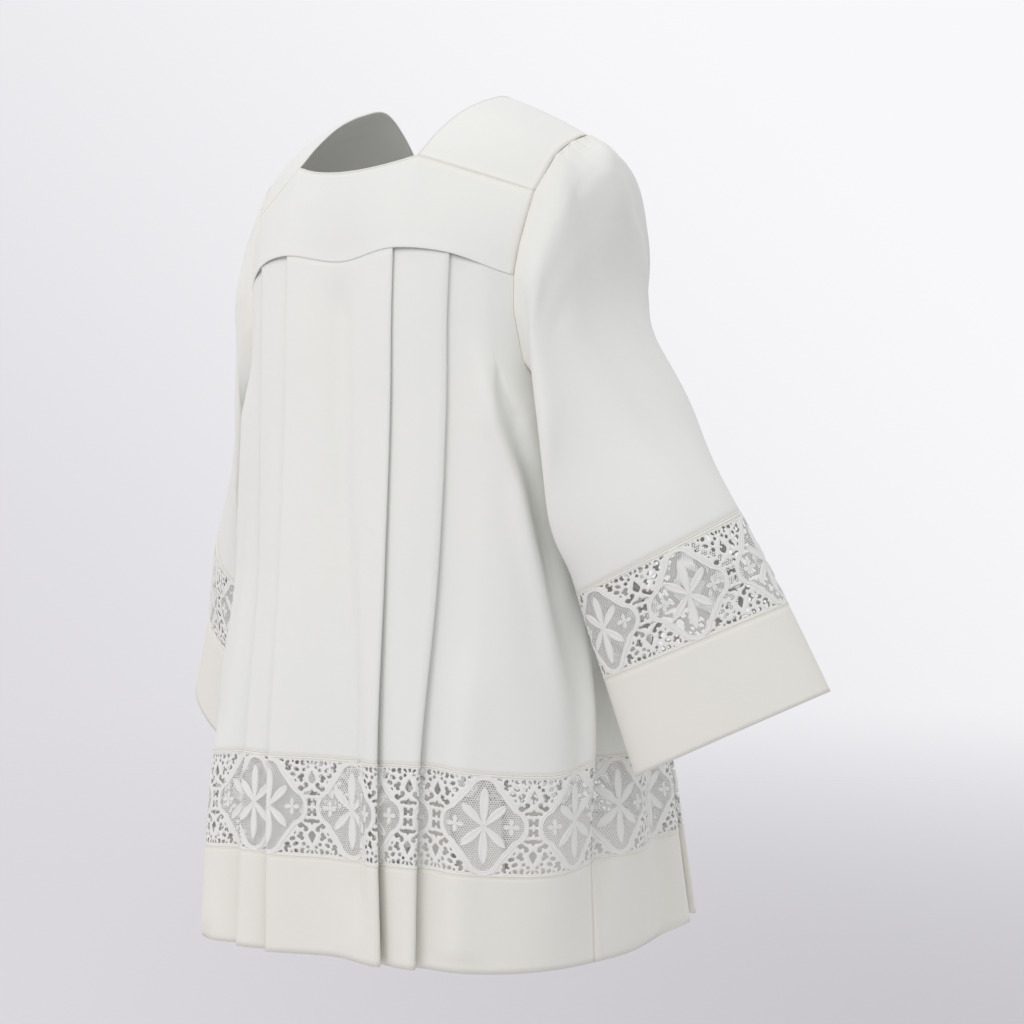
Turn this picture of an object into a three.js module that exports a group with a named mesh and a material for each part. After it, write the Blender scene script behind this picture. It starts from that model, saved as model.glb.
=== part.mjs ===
// Surplice, in millimetres, +Z up. The wearer faces -Y and has the right hand at -X.
// The origin is on the middle of the body, level with the top of the shoulders.
// Tables give the right half, with x counted outwards from the middle of the body.
import * as THREE from 'three';

// Driving sizes
const WALL = 1.2;
const HALF_GAP = 0.15;
const YOKE_SEAM = -176;
const ARMPIT = -335;
const LACE_TOP = -689;
const LACE_BOTTOM = -789;
const HEM = -891;
const PLEAT_DEPTH = 36;
const LACE_REPEAT = 100;

// The body in plan: one row for each level, and each station is [x, y, rise above the level]
const STATIONS = [
  'centreBack', 'backFold', 'backOuterFold', 'backCorner', 'backSide', 'side',
  'frontSide', 'frontCorner', 'frontOuterFold', 'frontFold', 'centreFront',
];
const BODY = [
  {
    level: YOKE_SEAM,
    centreBack: [0, 152, -3], backFold: [73, 155, 7], backOuterFold: [130, 134, 0],
    backCorner: [179, 95, -22], backSide: [197, 57, -22], side: [203, 15, -22],
    frontSide: [197, -33, -22], frontCorner: [178, -77, -22],
    frontOuterFold: [140, -100, -5], frontFold: [95, -112, 2], centreFront: [0, -116, -4],
  },
  {
    level: -235,
    centreBack: [0, 154, 0], backFold: [73, 158, 0], backOuterFold: [129, 137, 0],
    backCorner: [181, 95, 0], backSide: [198, 57, 0], side: [203, 15, 0],
    frontSide: [197, -33, 0], frontCorner: [178, -76, 0],
    frontOuterFold: [142, -104, 0], frontFold: [97, -118, 0], centreFront: [0, -121, 0],
  },
  {
    level: ARMPIT,
    centreBack: [0, 156, 0], backFold: [73, 160, 0], backOuterFold: [129, 139, 0],
    backCorner: [186, 97, 0], backSide: [202, 57, 0], side: [203, 15, 0],
    frontSide: [201, -33, 0], frontCorner: [184, -80, 0],
    frontOuterFold: [148, -116, 0], frontFold: [100, -130, 0], centreFront: [0, -133, 0],
  },
  {
    level: -500,
    centreBack: [0, 163, 0], backFold: [73, 169, 0], backOuterFold: [125, 147, 0],
    backCorner: [190, 104, 0], backSide: [209, 62, 0], side: [211, 18, 0],
    frontSide: [211, -40, 0], frontCorner: [194, -104, 0],
    frontOuterFold: [160, -146, 0], frontFold: [108, -162, 0], centreFront: [0, -164, 0],
  },
  {
    level: LACE_TOP,
    centreBack: [0, 170, 0], backFold: [73, 181, 0], backOuterFold: [117, 166, 0],
    backCorner: [188, 124, -8], backSide: [224, 74, -10], side: [222, 22, 0],
    frontSide: [222, -45, 3], frontCorner: [204, -125, 3],
    frontOuterFold: [178, -188, 5], frontFold: [114, -204, 6], centreFront: [0, -206, 6],
  },
  {
    level: HEM,
    centreBack: [0, 165, 0], backFold: [75, 180, 0], backOuterFold: [114, 171, 0],
    backCorner: [184, 124, -2], backSide: [216, 83, -1], side: [228.5, 23.6, 0],
    frontSide: [229, -35, 1], frontCorner: [212, -118, 5],
    frontOuterFold: [190, -224, 11], frontFold: [120, -236, 13], centreFront: [0, -238, 14],
  },
];

// The left back swings further out towards the hem
const LEFT_SWING = {
  from: -500,
  backFold: [0, 9],
  backOuterFold: [8, 16],
  backCorner: [20, 26],
  backSide: [12, 12],
};

// Space between the layers of a pleat, which opens towards the hem
const PLEAT_SPACE = [
  { level: YOKE_SEAM, space: 1.8 },
  { level: ARMPIT, space: 2.4 },
  { level: -500, space: 3.2 },
  { level: LACE_TOP, space: 5 },
  { level: HEM, space: 7 },
];

// The armhole seam, from the top of the shoulder down the back to the armpit and up the front
const ARMHOLE = [
  { name: 'ridge', at: [200, -3, -51] },
  { name: 'back1', at: [199, 23, -60] },
  { name: 'back2', at: [197, 47, -76] },
  { name: 'back3', at: [193.5, 62, -98] },
  { name: 'shoulderSeam', at: [190, 73, -114] },
  { name: 'back5', at: [186.5, 81, -140] },
  { name: 'back6', at: [183, 89, -168] },
  { name: 'backYokeSeam', at: [180, 94, -198] },
  { name: 'back8', at: [180.5, 95, -235] },
  { name: 'back9', at: [184.5, 85, -285] },
  { name: 'back10', at: [193, 62, -315] },
  { name: 'back11', at: [201.5, 40, -329] },
  { name: 'armpit', at: [203, 15, ARMPIT] },
  { name: 'front13', at: [201.5, -12, -329] },
  { name: 'front14', at: [194, -39, -315] },
  { name: 'front15', at: [183.5, -66, -285] },
  { name: 'front16', at: [178, -76, -235] },
  { name: 'frontYokeSeam', at: [178, -77, -198] },
  { name: 'front18', at: [180, -74, -168] },
  { name: 'front19', at: [183, -68, -142] },
  { name: 'frontNeck', at: [187, -60, -118] },
  { name: 'front21', at: [193, -43, -84] },
  { name: 'front22', at: [198, -24, -63] },
];

// The neck edge of the shoulder, from the front corner of the neckline to the back corner,
// with how far the shoulder swells between it and the armhole
const NECK_SIDE = [
  { beside: 'frontNeck', at: [84, -104, -112], swell: 0 },
  { beside: 'front21', at: [85.5, -78, -62], swell: 3 },
  { beside: 'front22', at: [86.5, -48, -22], swell: 3 },
  { beside: 'ridge', at: [87, -17.5, 0], swell: 3 },
  { beside: 'back1', at: [86, 20, -6.8], swell: 6 },
  { beside: 'back2', at: [84.5, 60, -23.6], swell: 9 },
  { beside: 'back3', at: [82.7, 96, -48], swell: 7 },
  { beside: 'shoulderSeam', at: [81.7, 126, -75], swell: 0 },
];
const BACK_NECK_CENTRE = [0, 145, -88];
const FRONT_NECK_CENTRE = [0, -111, -117];

// The sleeves: top edge, back, bottom edge and front of each ring, from the cap to the cuff
const SLEEVES = {
  right: [
    { top: [236, -12, -82], back: [203, 97, -222], bottom: [211, 24, -354], front: [204, -80, -222] },
    { top: [236, -20, -140], back: [211, 98, -262], bottom: [216, 36, -385], front: [209, -76, -258] },
    { top: [226, -28, -215], back: [230, 96, -318], bottom: [217, 58, -423], front: [220, -68, -305] },
    { top: [288, -40, -325], back: [259, 82, -392], bottom: [221, 62, -468], front: [252, -66, -378] },
    { top: [354, -53, -437], back: [325, 47, -477], bottom: [226, 50, -518], front: [256, -47, -477] },
    { top: [402, -63, -525], back: [343, 25, -564], bottom: [238, 20, -603], front: [297, -68, -564] },
    { top: [446, -72, -612], back: [370, 6, -657], bottom: [262, -2, -703], front: [338, -80, -657] },
  ],
  left: [
    { top: [234, -12, -82], back: [202, 94, -222], bottom: [211, 24, -354], front: [204, -80, -222] },
    { top: [234, -22, -140], back: [208, 85, -262], bottom: [216, 32, -387], front: [209, -78, -258] },
    { top: [222, -32, -215], back: [225, 68, -318], bottom: [218, 44, -427], front: [222, -78, -305] },
    { top: [276, -44, -325], back: [251, 56, -392], bottom: [222, 46, -474], front: [252, -78, -378] },
    { top: [336, -55, -442], back: [300, 30, -484], bottom: [226, 38, -528], front: [256, -62, -484] },
    { top: [376, -64, -540], back: [324, 14, -578], bottom: [238, 22, -612], front: [290, -68, -578] },
    { top: [420, -74, -640], back: [350, 0, -680], bottom: [262, -2, -720], front: [328, -78, -680] },
  ],
};
const SLEEVE_LACE_TOP = 5;
const SLEEVE_LACE_BOTTOM = 6;
const CUFF_END = 7;

const share01 = (value) => THREE.MathUtils.clamp(value, 0, 1);
const lerp = THREE.MathUtils.lerp;
const vector = (xyz) => new THREE.Vector3(...xyz);
const outwards = (xyz, hand) => new THREE.Vector3(xyz[0] * hand, xyz[1], xyz[2]);

// Smooth value of a table at a level, through every row
function smooth(levels, values, level) {
  const last = levels.length - 1;
  let i = 0;
  while (i < last - 1 && level < levels[i + 1]) i += 1;
  const slope = (k) => (values[k + 1] - values[k]) / (levels[k + 1] - levels[k]);
  const tangent = (k) => {
    if (k === 0) return slope(0);
    if (k === last) return slope(last - 1);
    return (slope(k - 1) + slope(k)) / 2;
  };
  const span = levels[i + 1] - levels[i];
  const t = (level - levels[i]) / span;
  const start = (1 + 2 * t) * (1 - t) ** 2 * values[i] + t * (1 - t) ** 2 * span * tangent(i);
  return start + t * t * (3 - 2 * t) * values[i + 1] + t * t * (t - 1) * span * tangent(i + 1);
}

const BODY_LEVELS = BODY.map((row) => row.level);

// One station of the body at a level: hand is -1 on the wearer's right and 1 on the left
function station(name, level, hand) {
  const [x, y, rise] = [0, 1, 2].map((k) => smooth(BODY_LEVELS, BODY.map((row) => row[name][k]), level));
  const [outX, outY] = LEFT_SWING[name] ?? [0, 0];
  const swing = hand > 0 ? share01((LEFT_SWING.from - level) / (LEFT_SWING.from - HEM)) : 0;
  return new THREE.Vector3(hand * (x + swing * outX), y + swing * outY, level + rise);
}

const pleatSpace = (level) => smooth(
  PLEAT_SPACE.map((row) => row.level), PLEAT_SPACE.map((row) => row.space), level,
);

// The smooth outline of one quarter of the body at a level, from its middle to the side seam
const SAMPLES = 12;
const QUARTER_SPANS = (STATIONS.length - 1) / 2;
const quarters = new Map();
function quarter(face, hand, level) {
  const key = `${face} ${hand} ${level}`;
  if (quarters.has(key)) return quarters.get(key);
  const right = STATIONS.map((name) => station(name, level, -1));
  const left = STATIONS.slice(1, -1).reverse().map((name) => station(name, level, 1));
  const ring = new THREE.CatmullRomCurve3([...right, ...left], true, 'centripetal');
  const count = right.length + left.length;
  const start = face === 'back' ? 0 : STATIONS.length - 1;
  const step = (face === 'back') === (hand < 0) ? 1 : -1;
  const points = [];
  for (let i = 0; i <= QUARTER_SPANS * SAMPLES; i += 1) {
    points.push(ring.getPoint((((start + (step * i) / SAMPLES) / count) + 1) % 1));
  }
  const lengths = [0];
  for (let i = 1; i < points.length; i += 1) {
    const run = Math.hypot(points[i].x - points[i - 1].x, points[i].y - points[i - 1].y);
    lengths.push(lengths[i - 1] + run);
  }
  const [fold, outerFold, end] = [lengths[SAMPLES], lengths[2 * SAMPLES], lengths.at(-1)];
  const made = { points, lengths, fold, outerFold, end };
  quarters.set(key, made);
  return made;
}

// A point of a quarter at a length from the middle, moved outwards by a height
function onQuarter(outline, face, hand, length, height) {
  const { points, lengths } = outline;
  let i = 0;
  while (i < points.length - 2 && lengths[i + 1] < length) i += 1;
  const t = (length - lengths[i]) / (lengths[i + 1] - lengths[i]);
  const tangent = (k) => {
    const before = k > 0 ? points[k - 1] : points[1].clone().setX(2 * points[0].x - points[1].x);
    const after = points[Math.min(k + 1, points.length - 1)];
    return new THREE.Vector3(after.x - before.x, after.y - before.y, 0).normalize();
  };
  const along = tangent(i).lerp(tangent(i + 1), t).normalize();
  const turn = (face === 'back') === (hand < 0) ? 1 : -1;
  const point = points[i].clone().lerp(points[i + 1], t);
  point.x += along.y * turn * height;
  point.y -= along.x * turn * height;
  return point;
}

const armholePoint = (name, hand) => outwards(ARMHOLE.find((row) => row.name === name).at, hand);

// The armhole at a height, on the front or the back, or nothing below the armpit
function armholeAt(face, hand, z) {
  if (z <= ARMPIT) return null;
  const armpit = ARMHOLE.findIndex((row) => row.name === 'armpit');
  const frontHalf = [...ARMHOLE.slice(armpit), ARMHOLE[0]].reverse();
  const half = face === 'back' ? ARMHOLE.slice(0, armpit + 1) : frontHalf;
  for (let i = 0; i < half.length - 1; i += 1) {
    const [upper, lower] = [outwards(half[i].at, hand), outwards(half[i + 1].at, hand)];
    if (z <= upper.z && z >= lower.z) return upper.lerp(lower, (upper.z - z) / (upper.z - lower.z));
  }
  return null;
}

// Where a quarter ends: at the side seam, or above the armpit at the armhole,
// which the yoke seam meets a little lower than the middle of the body
const YOKE_DROP = { from: -235, atArmhole: -198 };
function quarterEnd(outline, face, hand, level) {
  if (level <= ARMPIT) return { length: outline.end - HALF_GAP, shift: new THREE.Vector3() };
  const rise = Math.max((level - YOKE_DROP.from) / (YOKE_SEAM - YOKE_DROP.from), 0);
  const z = rise > 0 ? lerp(YOKE_DROP.from, YOKE_DROP.atArmhole, rise) : level;
  const edge = armholeAt(face, hand, z);
  let length = outline.end;
  let best = Infinity;
  outline.points.forEach((point, i) => {
    const away = Math.hypot(point.x - edge.x, point.y - edge.y);
    if (away < best) {
      best = away;
      length = outline.lengths[i];
    }
  });
  return { length, shift: edge.sub(onQuarter(outline, face, hand, length, 0)) };
}

// The pleats of one quarter at a level: knots of the cloth from the middle to the edge
const TIE = 2;
const RISE = 50;
const STRIP = { atFold: -2, atOuterFold: -0.3 };
function pleatKnots(outline, level, end) {
  const space = pleatSpace(level);
  const bend = space / 2;
  const { fold, outerFold } = outline;
  const strip = (length) => space * lerp(
    STRIP.atFold, STRIP.atOuterFold, share01((length - fold) / (outerFold - fold)),
  );
  const knots = [];
  const run = (from, to, steps, height, shown = true) => {
    for (let i = 0; i <= steps; i += 1) {
      const length = lerp(from, to, i / steps);
      knots.push({ length, height: height(length), shown });
    }
  };
  const layer = (height, offset) => (length) => height(length) + offset * space;
  const flat = () => 0;
  const crease = (length, height) => knots.push({ length, height, shown: false, crease: true });
  const tuck = (edge, height) => {
    crease(edge, height(edge) - 0.5 * space);
    run(edge - bend, edge - PLEAT_DEPTH + bend, 2, layer(height, -1), false);
    crease(edge - PLEAT_DEPTH, height(edge - PLEAT_DEPTH) - 1.5 * space);
    run(edge - PLEAT_DEPTH + bend, edge - bend, 2, layer(height, -2), false);
  };
  run(0, fold - PLEAT_DEPTH - bend, 2, flat);
  run(fold - PLEAT_DEPTH, fold - bend, 2, flat);
  tuck(fold, flat);
  run(fold + TIE, outerFold - bend, 2, strip);
  tuck(outerFold, strip);
  const riseEnd = Math.min(RISE, 0.6 * (end - outerFold));
  const low = strip(outerFold) - 2 * space;
  const rising = (length) => low * (1 - THREE.MathUtils.smoothstep(length, outerFold, outerFold + riseEnd));
  run(outerFold + TIE, outerFold + riseEnd, 2, rising);
  run(lerp(outerFold + riseEnd, end, 0.25), end, 3, flat);
  return knots;
}

const bands = new Map();
function band(face, hand, level) {
  const key = `${face} ${hand} ${level}`;
  if (!bands.has(key)) {
    const outline = quarter(face, hand, level);
    const end = quarterEnd(outline, face, hand, level);
    bands.set(key, { outline, end, knots: pleatKnots(outline, level, end.length) });
  }
  return bands.get(key);
}

function knotPoint(face, hand, level, index) {
  const { outline, end, knots } = band(face, hand, level);
  const whole = Math.min(Math.floor(index), knots.length - 2);
  const part = index - whole;
  const length = lerp(knots[whole].length, knots[whole + 1].length, part);
  const height = lerp(knots[whole].height, knots[whole + 1].height, part);
  const point = onQuarter(outline, face, hand, length, height);
  const share = share01((length - outline.outerFold) / (end.length - outline.outerFold));
  return point.addScaledVector(end.shift, share * share);
}

// Cloth width of each knot from the middle of the panel, measured halfway down the lace
const LACE_MIDDLE = (LACE_TOP + LACE_BOTTOM) / 2;
function clothWidths(face, hand) {
  const { knots } = band(face, hand, LACE_MIDDLE);
  const widths = [0];
  for (let i = 1; i < knots.length; i += 1) {
    const [from, to] = [i - 1, i].map((k) => knotPoint(face, hand, LACE_MIDDLE, k));
    widths.push(widths[i - 1] + from.distanceTo(to));
  }
  return widths;
}
const WIDTHS = {
  back: { '-1': clothWidths('back', -1), 1: clothWidths('back', 1) },
  front: { '-1': clothWidths('front', -1), 1: clothWidths('front', 1) },
};

// A point of the cloth: width runs from the wearer's left edge below 0 to the right edge above 0
function clothPoint(face, width, level) {
  const hand = width > 0 ? -1 : 1;
  const widths = WIDTHS[face][hand];
  const from = Math.min(Math.abs(width), widths.at(-1));
  let i = 0;
  while (i < widths.length - 2 && widths[i + 1] < from) i += 1;
  return knotPoint(face, hand, level, i + (from - widths[i]) / (widths[i + 1] - widths[i]));
}

// The two faces of the cloth at a point, with the corners of folds mitred
const STEP = 0.8;
const MITRE = 0.7;
function clothFaces(face, width, level) {
  const point = clothPoint(face, width, level);
  const turn = face === 'back' ? 1 : -1;
  const side = (offset) => {
    const other = clothPoint(face, width + offset, level).sub(point).multiplyScalar(Math.sign(offset));
    return new THREE.Vector3(other.y * turn, -other.x * turn, 0).normalize();
  };
  const before = side(-STEP);
  const after = side(STEP);
  const normal = before.clone().add(after).normalize();
  const reach = WALL / 2 / Math.max(normal.dot(before.lengthSq() > 0 ? before : after), MITRE);
  return [point.clone().addScaledVector(normal, reach), point.addScaledVector(normal, -reach)];
}

// Solids
function addQuad(positions, a, b, c, d) {
  for (const corner of [a, b, c, a, c, d]) positions.push(corner.x, corner.y, corner.z);
}

function solid(positions) {
  let volume = 0;
  const corner = (i) => new THREE.Vector3().fromArray(positions, i);
  for (let i = 0; i < positions.length; i += 9) volume += corner(i).dot(corner(i + 3).cross(corner(i + 6)));
  const ordered = [...positions];
  if (volume < 0) {
    for (let i = 0; i < positions.length; i += 9) {
      for (let k = 0; k < 3; k += 1) {
        ordered[i + 3 + k] = positions[i + 6 + k];
        ordered[i + 6 + k] = positions[i + 3 + k];
      }
    }
  }
  const geometry = new THREE.BufferGeometry();
  geometry.setAttribute('position', new THREE.Float32BufferAttribute(ordered, 3));
  geometry.computeVertexNormals();
  return geometry;
}

// A wall over a grid of [outer, inner] pairs: cells that keep() refuses are left open
function wall(grid, keep = () => true, wrap = false) {
  const positions = [];
  const rows = grid.length - 1;
  const columns = wrap ? grid[0].length : grid[0].length - 1;
  const at = (i, j) => grid[i][j % grid[0].length];
  const kept = (i, j) => {
    const column = wrap ? (j + columns) % columns : j;
    return i >= 0 && i < rows && column >= 0 && column < columns && keep(i, column);
  };
  const rim = (p, q) => addQuad(positions, p[0], q[0], q[1], p[1]);
  for (let i = 0; i < rows; i += 1) {
    for (let j = 0; j < columns; j += 1) {
      if (!kept(i, j)) continue;
      const [a, b, c, d] = [at(i, j), at(i, j + 1), at(i + 1, j + 1), at(i + 1, j)];
      addQuad(positions, a[0], d[0], c[0], b[0]);
      addQuad(positions, a[1], b[1], c[1], d[1]);
      if (!kept(i - 1, j)) rim(a, b);
      if (!kept(i + 1, j)) rim(c, d);
      if (!kept(i, j - 1)) rim(d, a);
      if (!kept(i, j + 1)) rim(b, c);
    }
  }
  return solid(positions);
}

// Pleated panels and hem bands
const bothHalves = (left, right) => [...[...left].reverse().map((width) => -width), ...right.slice(1)];
const panelColumns = (face) => bothHalves(WIDTHS[face][1], WIDTHS[face][-1]);
const panel = (face, levels) => wall(
  levels.map((level) => panelColumns(face).map((width) => clothFaces(face, width, level))),
);
const PANEL_LEVELS = [
  YOKE_SEAM - HALF_GAP, -235, -285, -315, -329, ARMPIT, -500, -600, LACE_TOP + HALF_GAP,
];

// Lace: the gaps of one repeat, around the middle of the space between two medallions
const mirrored = (shape, flipX, flipY) => {
  const made = shape.map(([x, y]) => [flipX ? -x : x, flipY ? -y : y]);
  return flipX === flipY ? made : made.reverse();
};
const LADDER = [[-5, 1.4], [5, 1.4], [5, 8.7], [-5, 8.7]];
const CROWN = [[-8, 12.5], [8, 12.5], [3.5, 18.5], [-3.5, 18.5]];
const KITE = [[0, 22], [4, 29], [0, 36.5], [-4, 29]];
const LEAF = [[6.2, 21.8], [10.8, 17.2], [15.6, 21.8], [10.8, 26.6]];
const GAPS = [false, true].flatMap((down) => [
  mirrored(LADDER, false, down), mirrored(CROWN, false, down), mirrored(KITE, false, down),
  mirrored(LEAF, false, down), mirrored(LEAF, true, down),
]);
const TILE_STOPS = [-32, -16, 0, 16, 32];
const FOLD_MARGIN = 1.2;

// Faces at a width between two columns of a wall, on the flat cell between them
function onCell(columns, width, facesAt) {
  let i = 0;
  while (i < columns.length - 2 && columns[i + 1] < width) i += 1;
  const part = (width - columns[i]) / (columns[i + 1] - columns[i]);
  const [before, after] = [facesAt(i), facesAt(i + 1)];
  return [mix(before[0], after[0], part), mix(before[1], after[1], part)];
}

// A strip of lace between two widths: place(width, fall) gives its [outer, inner] points
function laceStrip(place, from, to, stops, phase, columns) {
  const edges = new Set([from, to, ...stops]);
  const first = Math.floor((from - phase) / LACE_REPEAT) - 1;
  const last = Math.ceil((to - phase) / LACE_REPEAT) + 1;
  for (let k = first; k <= last; k += 1) {
    TILE_STOPS.forEach((stop) => edges.add(phase + k * LACE_REPEAT + stop));
  }
  const stopList = [...edges].filter((edge) => edge >= from && edge <= to).sort((a, b) => a - b);
  const fixed = (edge) => stops.includes(edge) || edge === from || edge === to;
  const crowded = (edge) => stops.some((stop) => Math.abs(stop - edge) < TIE);
  const clean = stopList.filter((edge) => fixed(edge) || !crowded(edge));
  const gaps = [];
  for (let k = first; k <= last; k += 1) {
    const middle = phase + (k + 0.5) * LACE_REPEAT;
    GAPS.forEach((gap) => gaps.push(gap.map(([x, y]) => [middle + x, LACE_REPEAT / 2 - y])));
  }
  const positions = [];
  const push = (...corners) => corners.forEach((p) => positions.push(p.x, p.y, p.z));
  for (let i = 0; i < clean.length - 1; i += 1) {
    const [left, right] = [clean[i], clean[i + 1]];
    const within = (x, margin) => x > left + margin && x < right - margin;
    const inside = gaps.filter((gap) => gap.every(([x]) => within(x, FOLD_MARGIN)));
    const between = columns.filter((column) => within(column, FOLD_MARGIN / 2));
    const low = [left, ...between, right].map((x) => [x, 0]);
    const frame = [...low, ...low.map(([x]) => [x, LACE_REPEAT]).reverse()];
    const flat = [frame, ...inside].map((shape) => shape.map(([x, y]) => new THREE.Vector2(x, y)));
    const faces = THREE.ShapeUtils.triangulateShape(flat[0], flat.slice(1));
    const corners = flat.flat();
    const placed = corners.map((corner) => place(corner.x, corner.y));
    faces.forEach(([a, b, c]) => {
      const [p, q, r] = [corners[a], corners[b], corners[c]];
      const area = (q.x - p.x) * (r.y - p.y) - (r.x - p.x) * (q.y - p.y);
      const [second, third] = area > 0 ? [b, c] : [c, b];
      push(placed[a][0], placed[second][0], placed[third][0]);
      push(placed[a][1], placed[third][1], placed[second][1]);
    });
    const rim = (a, b) => addQuad(positions, placed[b][0], placed[a][0], placed[a][1], placed[b][1]);
    const [right0, left1] = [low.length - 1, frame.length - 1];
    for (let k = 0; k < left1; k += 1) {
      if (k !== right0) rim(k, k + 1);
    }
    if (i === 0) rim(left1, 0);
    if (i === clean.length - 2) rim(right0, right0 + 1);
    let start = frame.length;
    inside.forEach((gap) => {
      const winding = THREE.ShapeUtils.isClockWise(gap.map(([x, y]) => new THREE.Vector2(x, y)));
      for (let k = 0; k < gap.length; k += 1) {
        const [a, b] = [start + k, start + ((k + 1) % gap.length)];
        if (winding) rim(a, b);
        else rim(b, a);
      }
      start += gap.length;
    });
  }
  return solid(positions);
}

const LACE_PHASE = { back: 29, front: 0 };
function bodyLace(face) {
  const columns = panelColumns(face);
  const place = (width, fall) => {
    const level = lerp(LACE_TOP - HALF_GAP, LACE_BOTTOM + HALF_GAP, fall / LACE_REPEAT);
    return onCell(columns, width, (i) => clothFaces(face, columns[i], level));
  };
  const folds = (hand) => {
    const { knots } = band(face, hand, LACE_MIDDLE);
    return WIDTHS[face][hand].filter((_, i) => [i - 1, i, i + 1].some((k) => knots[k]?.crease));
  };
  const stops = bothHalves([0, ...folds(1)], [0, ...folds(-1)]);
  return laceStrip(place, columns[0], columns.at(-1), stops, LACE_PHASE[face], columns);
}

const mix = (a, b, t) => a.clone().lerp(b, t);

// Yokes
const LIFT = 3.5;
const SEARCH_STEP = 0.25;
// The lower edge of a yoke, from the middle outwards, with the corner of the neckline in it
function yokeEdge(face, hand, cornerX) {
  const { outline, end, knots } = band(face, hand, YOKE_SEAM + HALF_GAP);
  const lengths = knots.filter((knot) => knot.shown).map((knot) => knot.length).slice(0, -1);
  let cornerLength = 0;
  while (Math.abs(onQuarter(outline, face, hand, cornerLength, 0).x) < cornerX) cornerLength += SEARCH_STEP;
  const apart = lengths.filter((length, i) => i === 0 || length - lengths[i - 1] > TIE);
  const clear = apart.filter((length) => Math.abs(length - cornerLength) > TIE);
  const all = [...clear, cornerLength, end.length];
  all.sort((a, b) => a - b);
  const points = all.map((length) => {
    const share = share01((length - outline.outerFold) / (end.length - outline.outerFold));
    return onQuarter(outline, face, hand, length, 0).addScaledVector(end.shift, share * share);
  });
  const corner = all.indexOf(cornerLength);
  const part = (cornerLength - all[corner - 1]) / (all[corner + 1] - all[corner - 1]);
  points[corner] = mix(points[corner - 1], points[corner + 1], part);
  return { points, corner };
}

const parabola = (centre, corner, t) => new THREE.Vector3(
  corner.x * t, lerp(centre.y, corner.y, t * t), lerp(centre.z, corner.z, t * t),
);

// Both faces of a wall over a grid of middle points, with normals from the cells that are kept
const BODY_AXIS = new THREE.Vector3(0, 25, -140);
function thicken(middle, open = () => false) {
  const rows = middle.length - 1;
  const columns = middle[0].length - 1;
  return middle.map((row, i) => row.map((point, j) => {
    const normal = new THREE.Vector3();
    for (const [di, dj] of [[0, 0], [-1, 0], [0, -1], [-1, -1]]) {
      const [ci, cj] = [i + di, j + dj];
      if (ci < 0 || cj < 0 || ci >= rows || cj >= columns || open(ci, cj)) continue;
      const across = middle[ci][cj + 1].clone().sub(middle[ci + 1][cj]);
      const down = middle[ci + 1][cj + 1].clone().sub(middle[ci][cj]);
      normal.add(down.cross(across).normalize());
    }
    normal.normalize();
    if (normal.dot(point.clone().sub(BODY_AXIS)) < 0) normal.negate();
    return [WALL / 2, -WALL / 2].map((reach) => point.clone().addScaledVector(normal, reach));
  }));
}

// A value that is 0 at both ends of a share and 1 halfway
const swell = (share) => 4 * share * (1 - share);

// A yoke's rows between its lower edge and an upper edge, a little fuller in the middle
const SIDEWAYS = 0.2;
function bulged(low, high, share) {
  const point = mix(low, high, share);
  const out = new THREE.Vector3(point.x * SIDEWAYS, point.y, 0).normalize();
  return point.addScaledVector(out, LIFT * swell(share));
}

// Share of a lower-edge point between the middle and the neck corner, or the corner and the armhole
const shareAcross = (points, corner, j) => (
  j <= corner ? points[j].x / points[corner].x : (j - corner) / (points.length - 1 - corner)
);

const YOKE_ROWS = ['backYokeSeam', 'back6', 'back5', 'shoulderSeam'];
const SEAM_INSET = 0.35;
function backYoke() {
  const halves = [1, -1].map((hand) => {
    const { points, corner } = yokeEdge('back', hand, NECK_SIDE.at(-1).at[0]);
    const neckCorner = outwards(NECK_SIDE.at(-1).at, hand);
    const armholeEnd = armholePoint('shoulderSeam', hand);
    const centre = vector(BACK_NECK_CENTRE);
    return points.map((low, j) => {
      const across = shareAcross(points, corner, j);
      const high = j <= corner ? parabola(centre, neckCorner, across) : mix(neckCorner, armholeEnd, across);
      if (j >= corner) high.z -= SEAM_INSET;
      return YOKE_ROWS.map((name, i) => {
        if (j < points.length - 1) return bulged(low, high, i / (YOKE_ROWS.length - 1));
        const edge = armholePoint(name, hand);
        if (i === 0) edge.z = low.z;
        if (i === YOKE_ROWS.length - 1) edge.z -= SEAM_INSET;
        return edge;
      });
    });
  });
  const columns = [...halves[0].reverse(), ...halves[1].slice(1)];
  const middle = YOKE_ROWS.map((_, i) => columns.map((column) => column[i]));
  return wall(thicken(middle));
}

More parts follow.
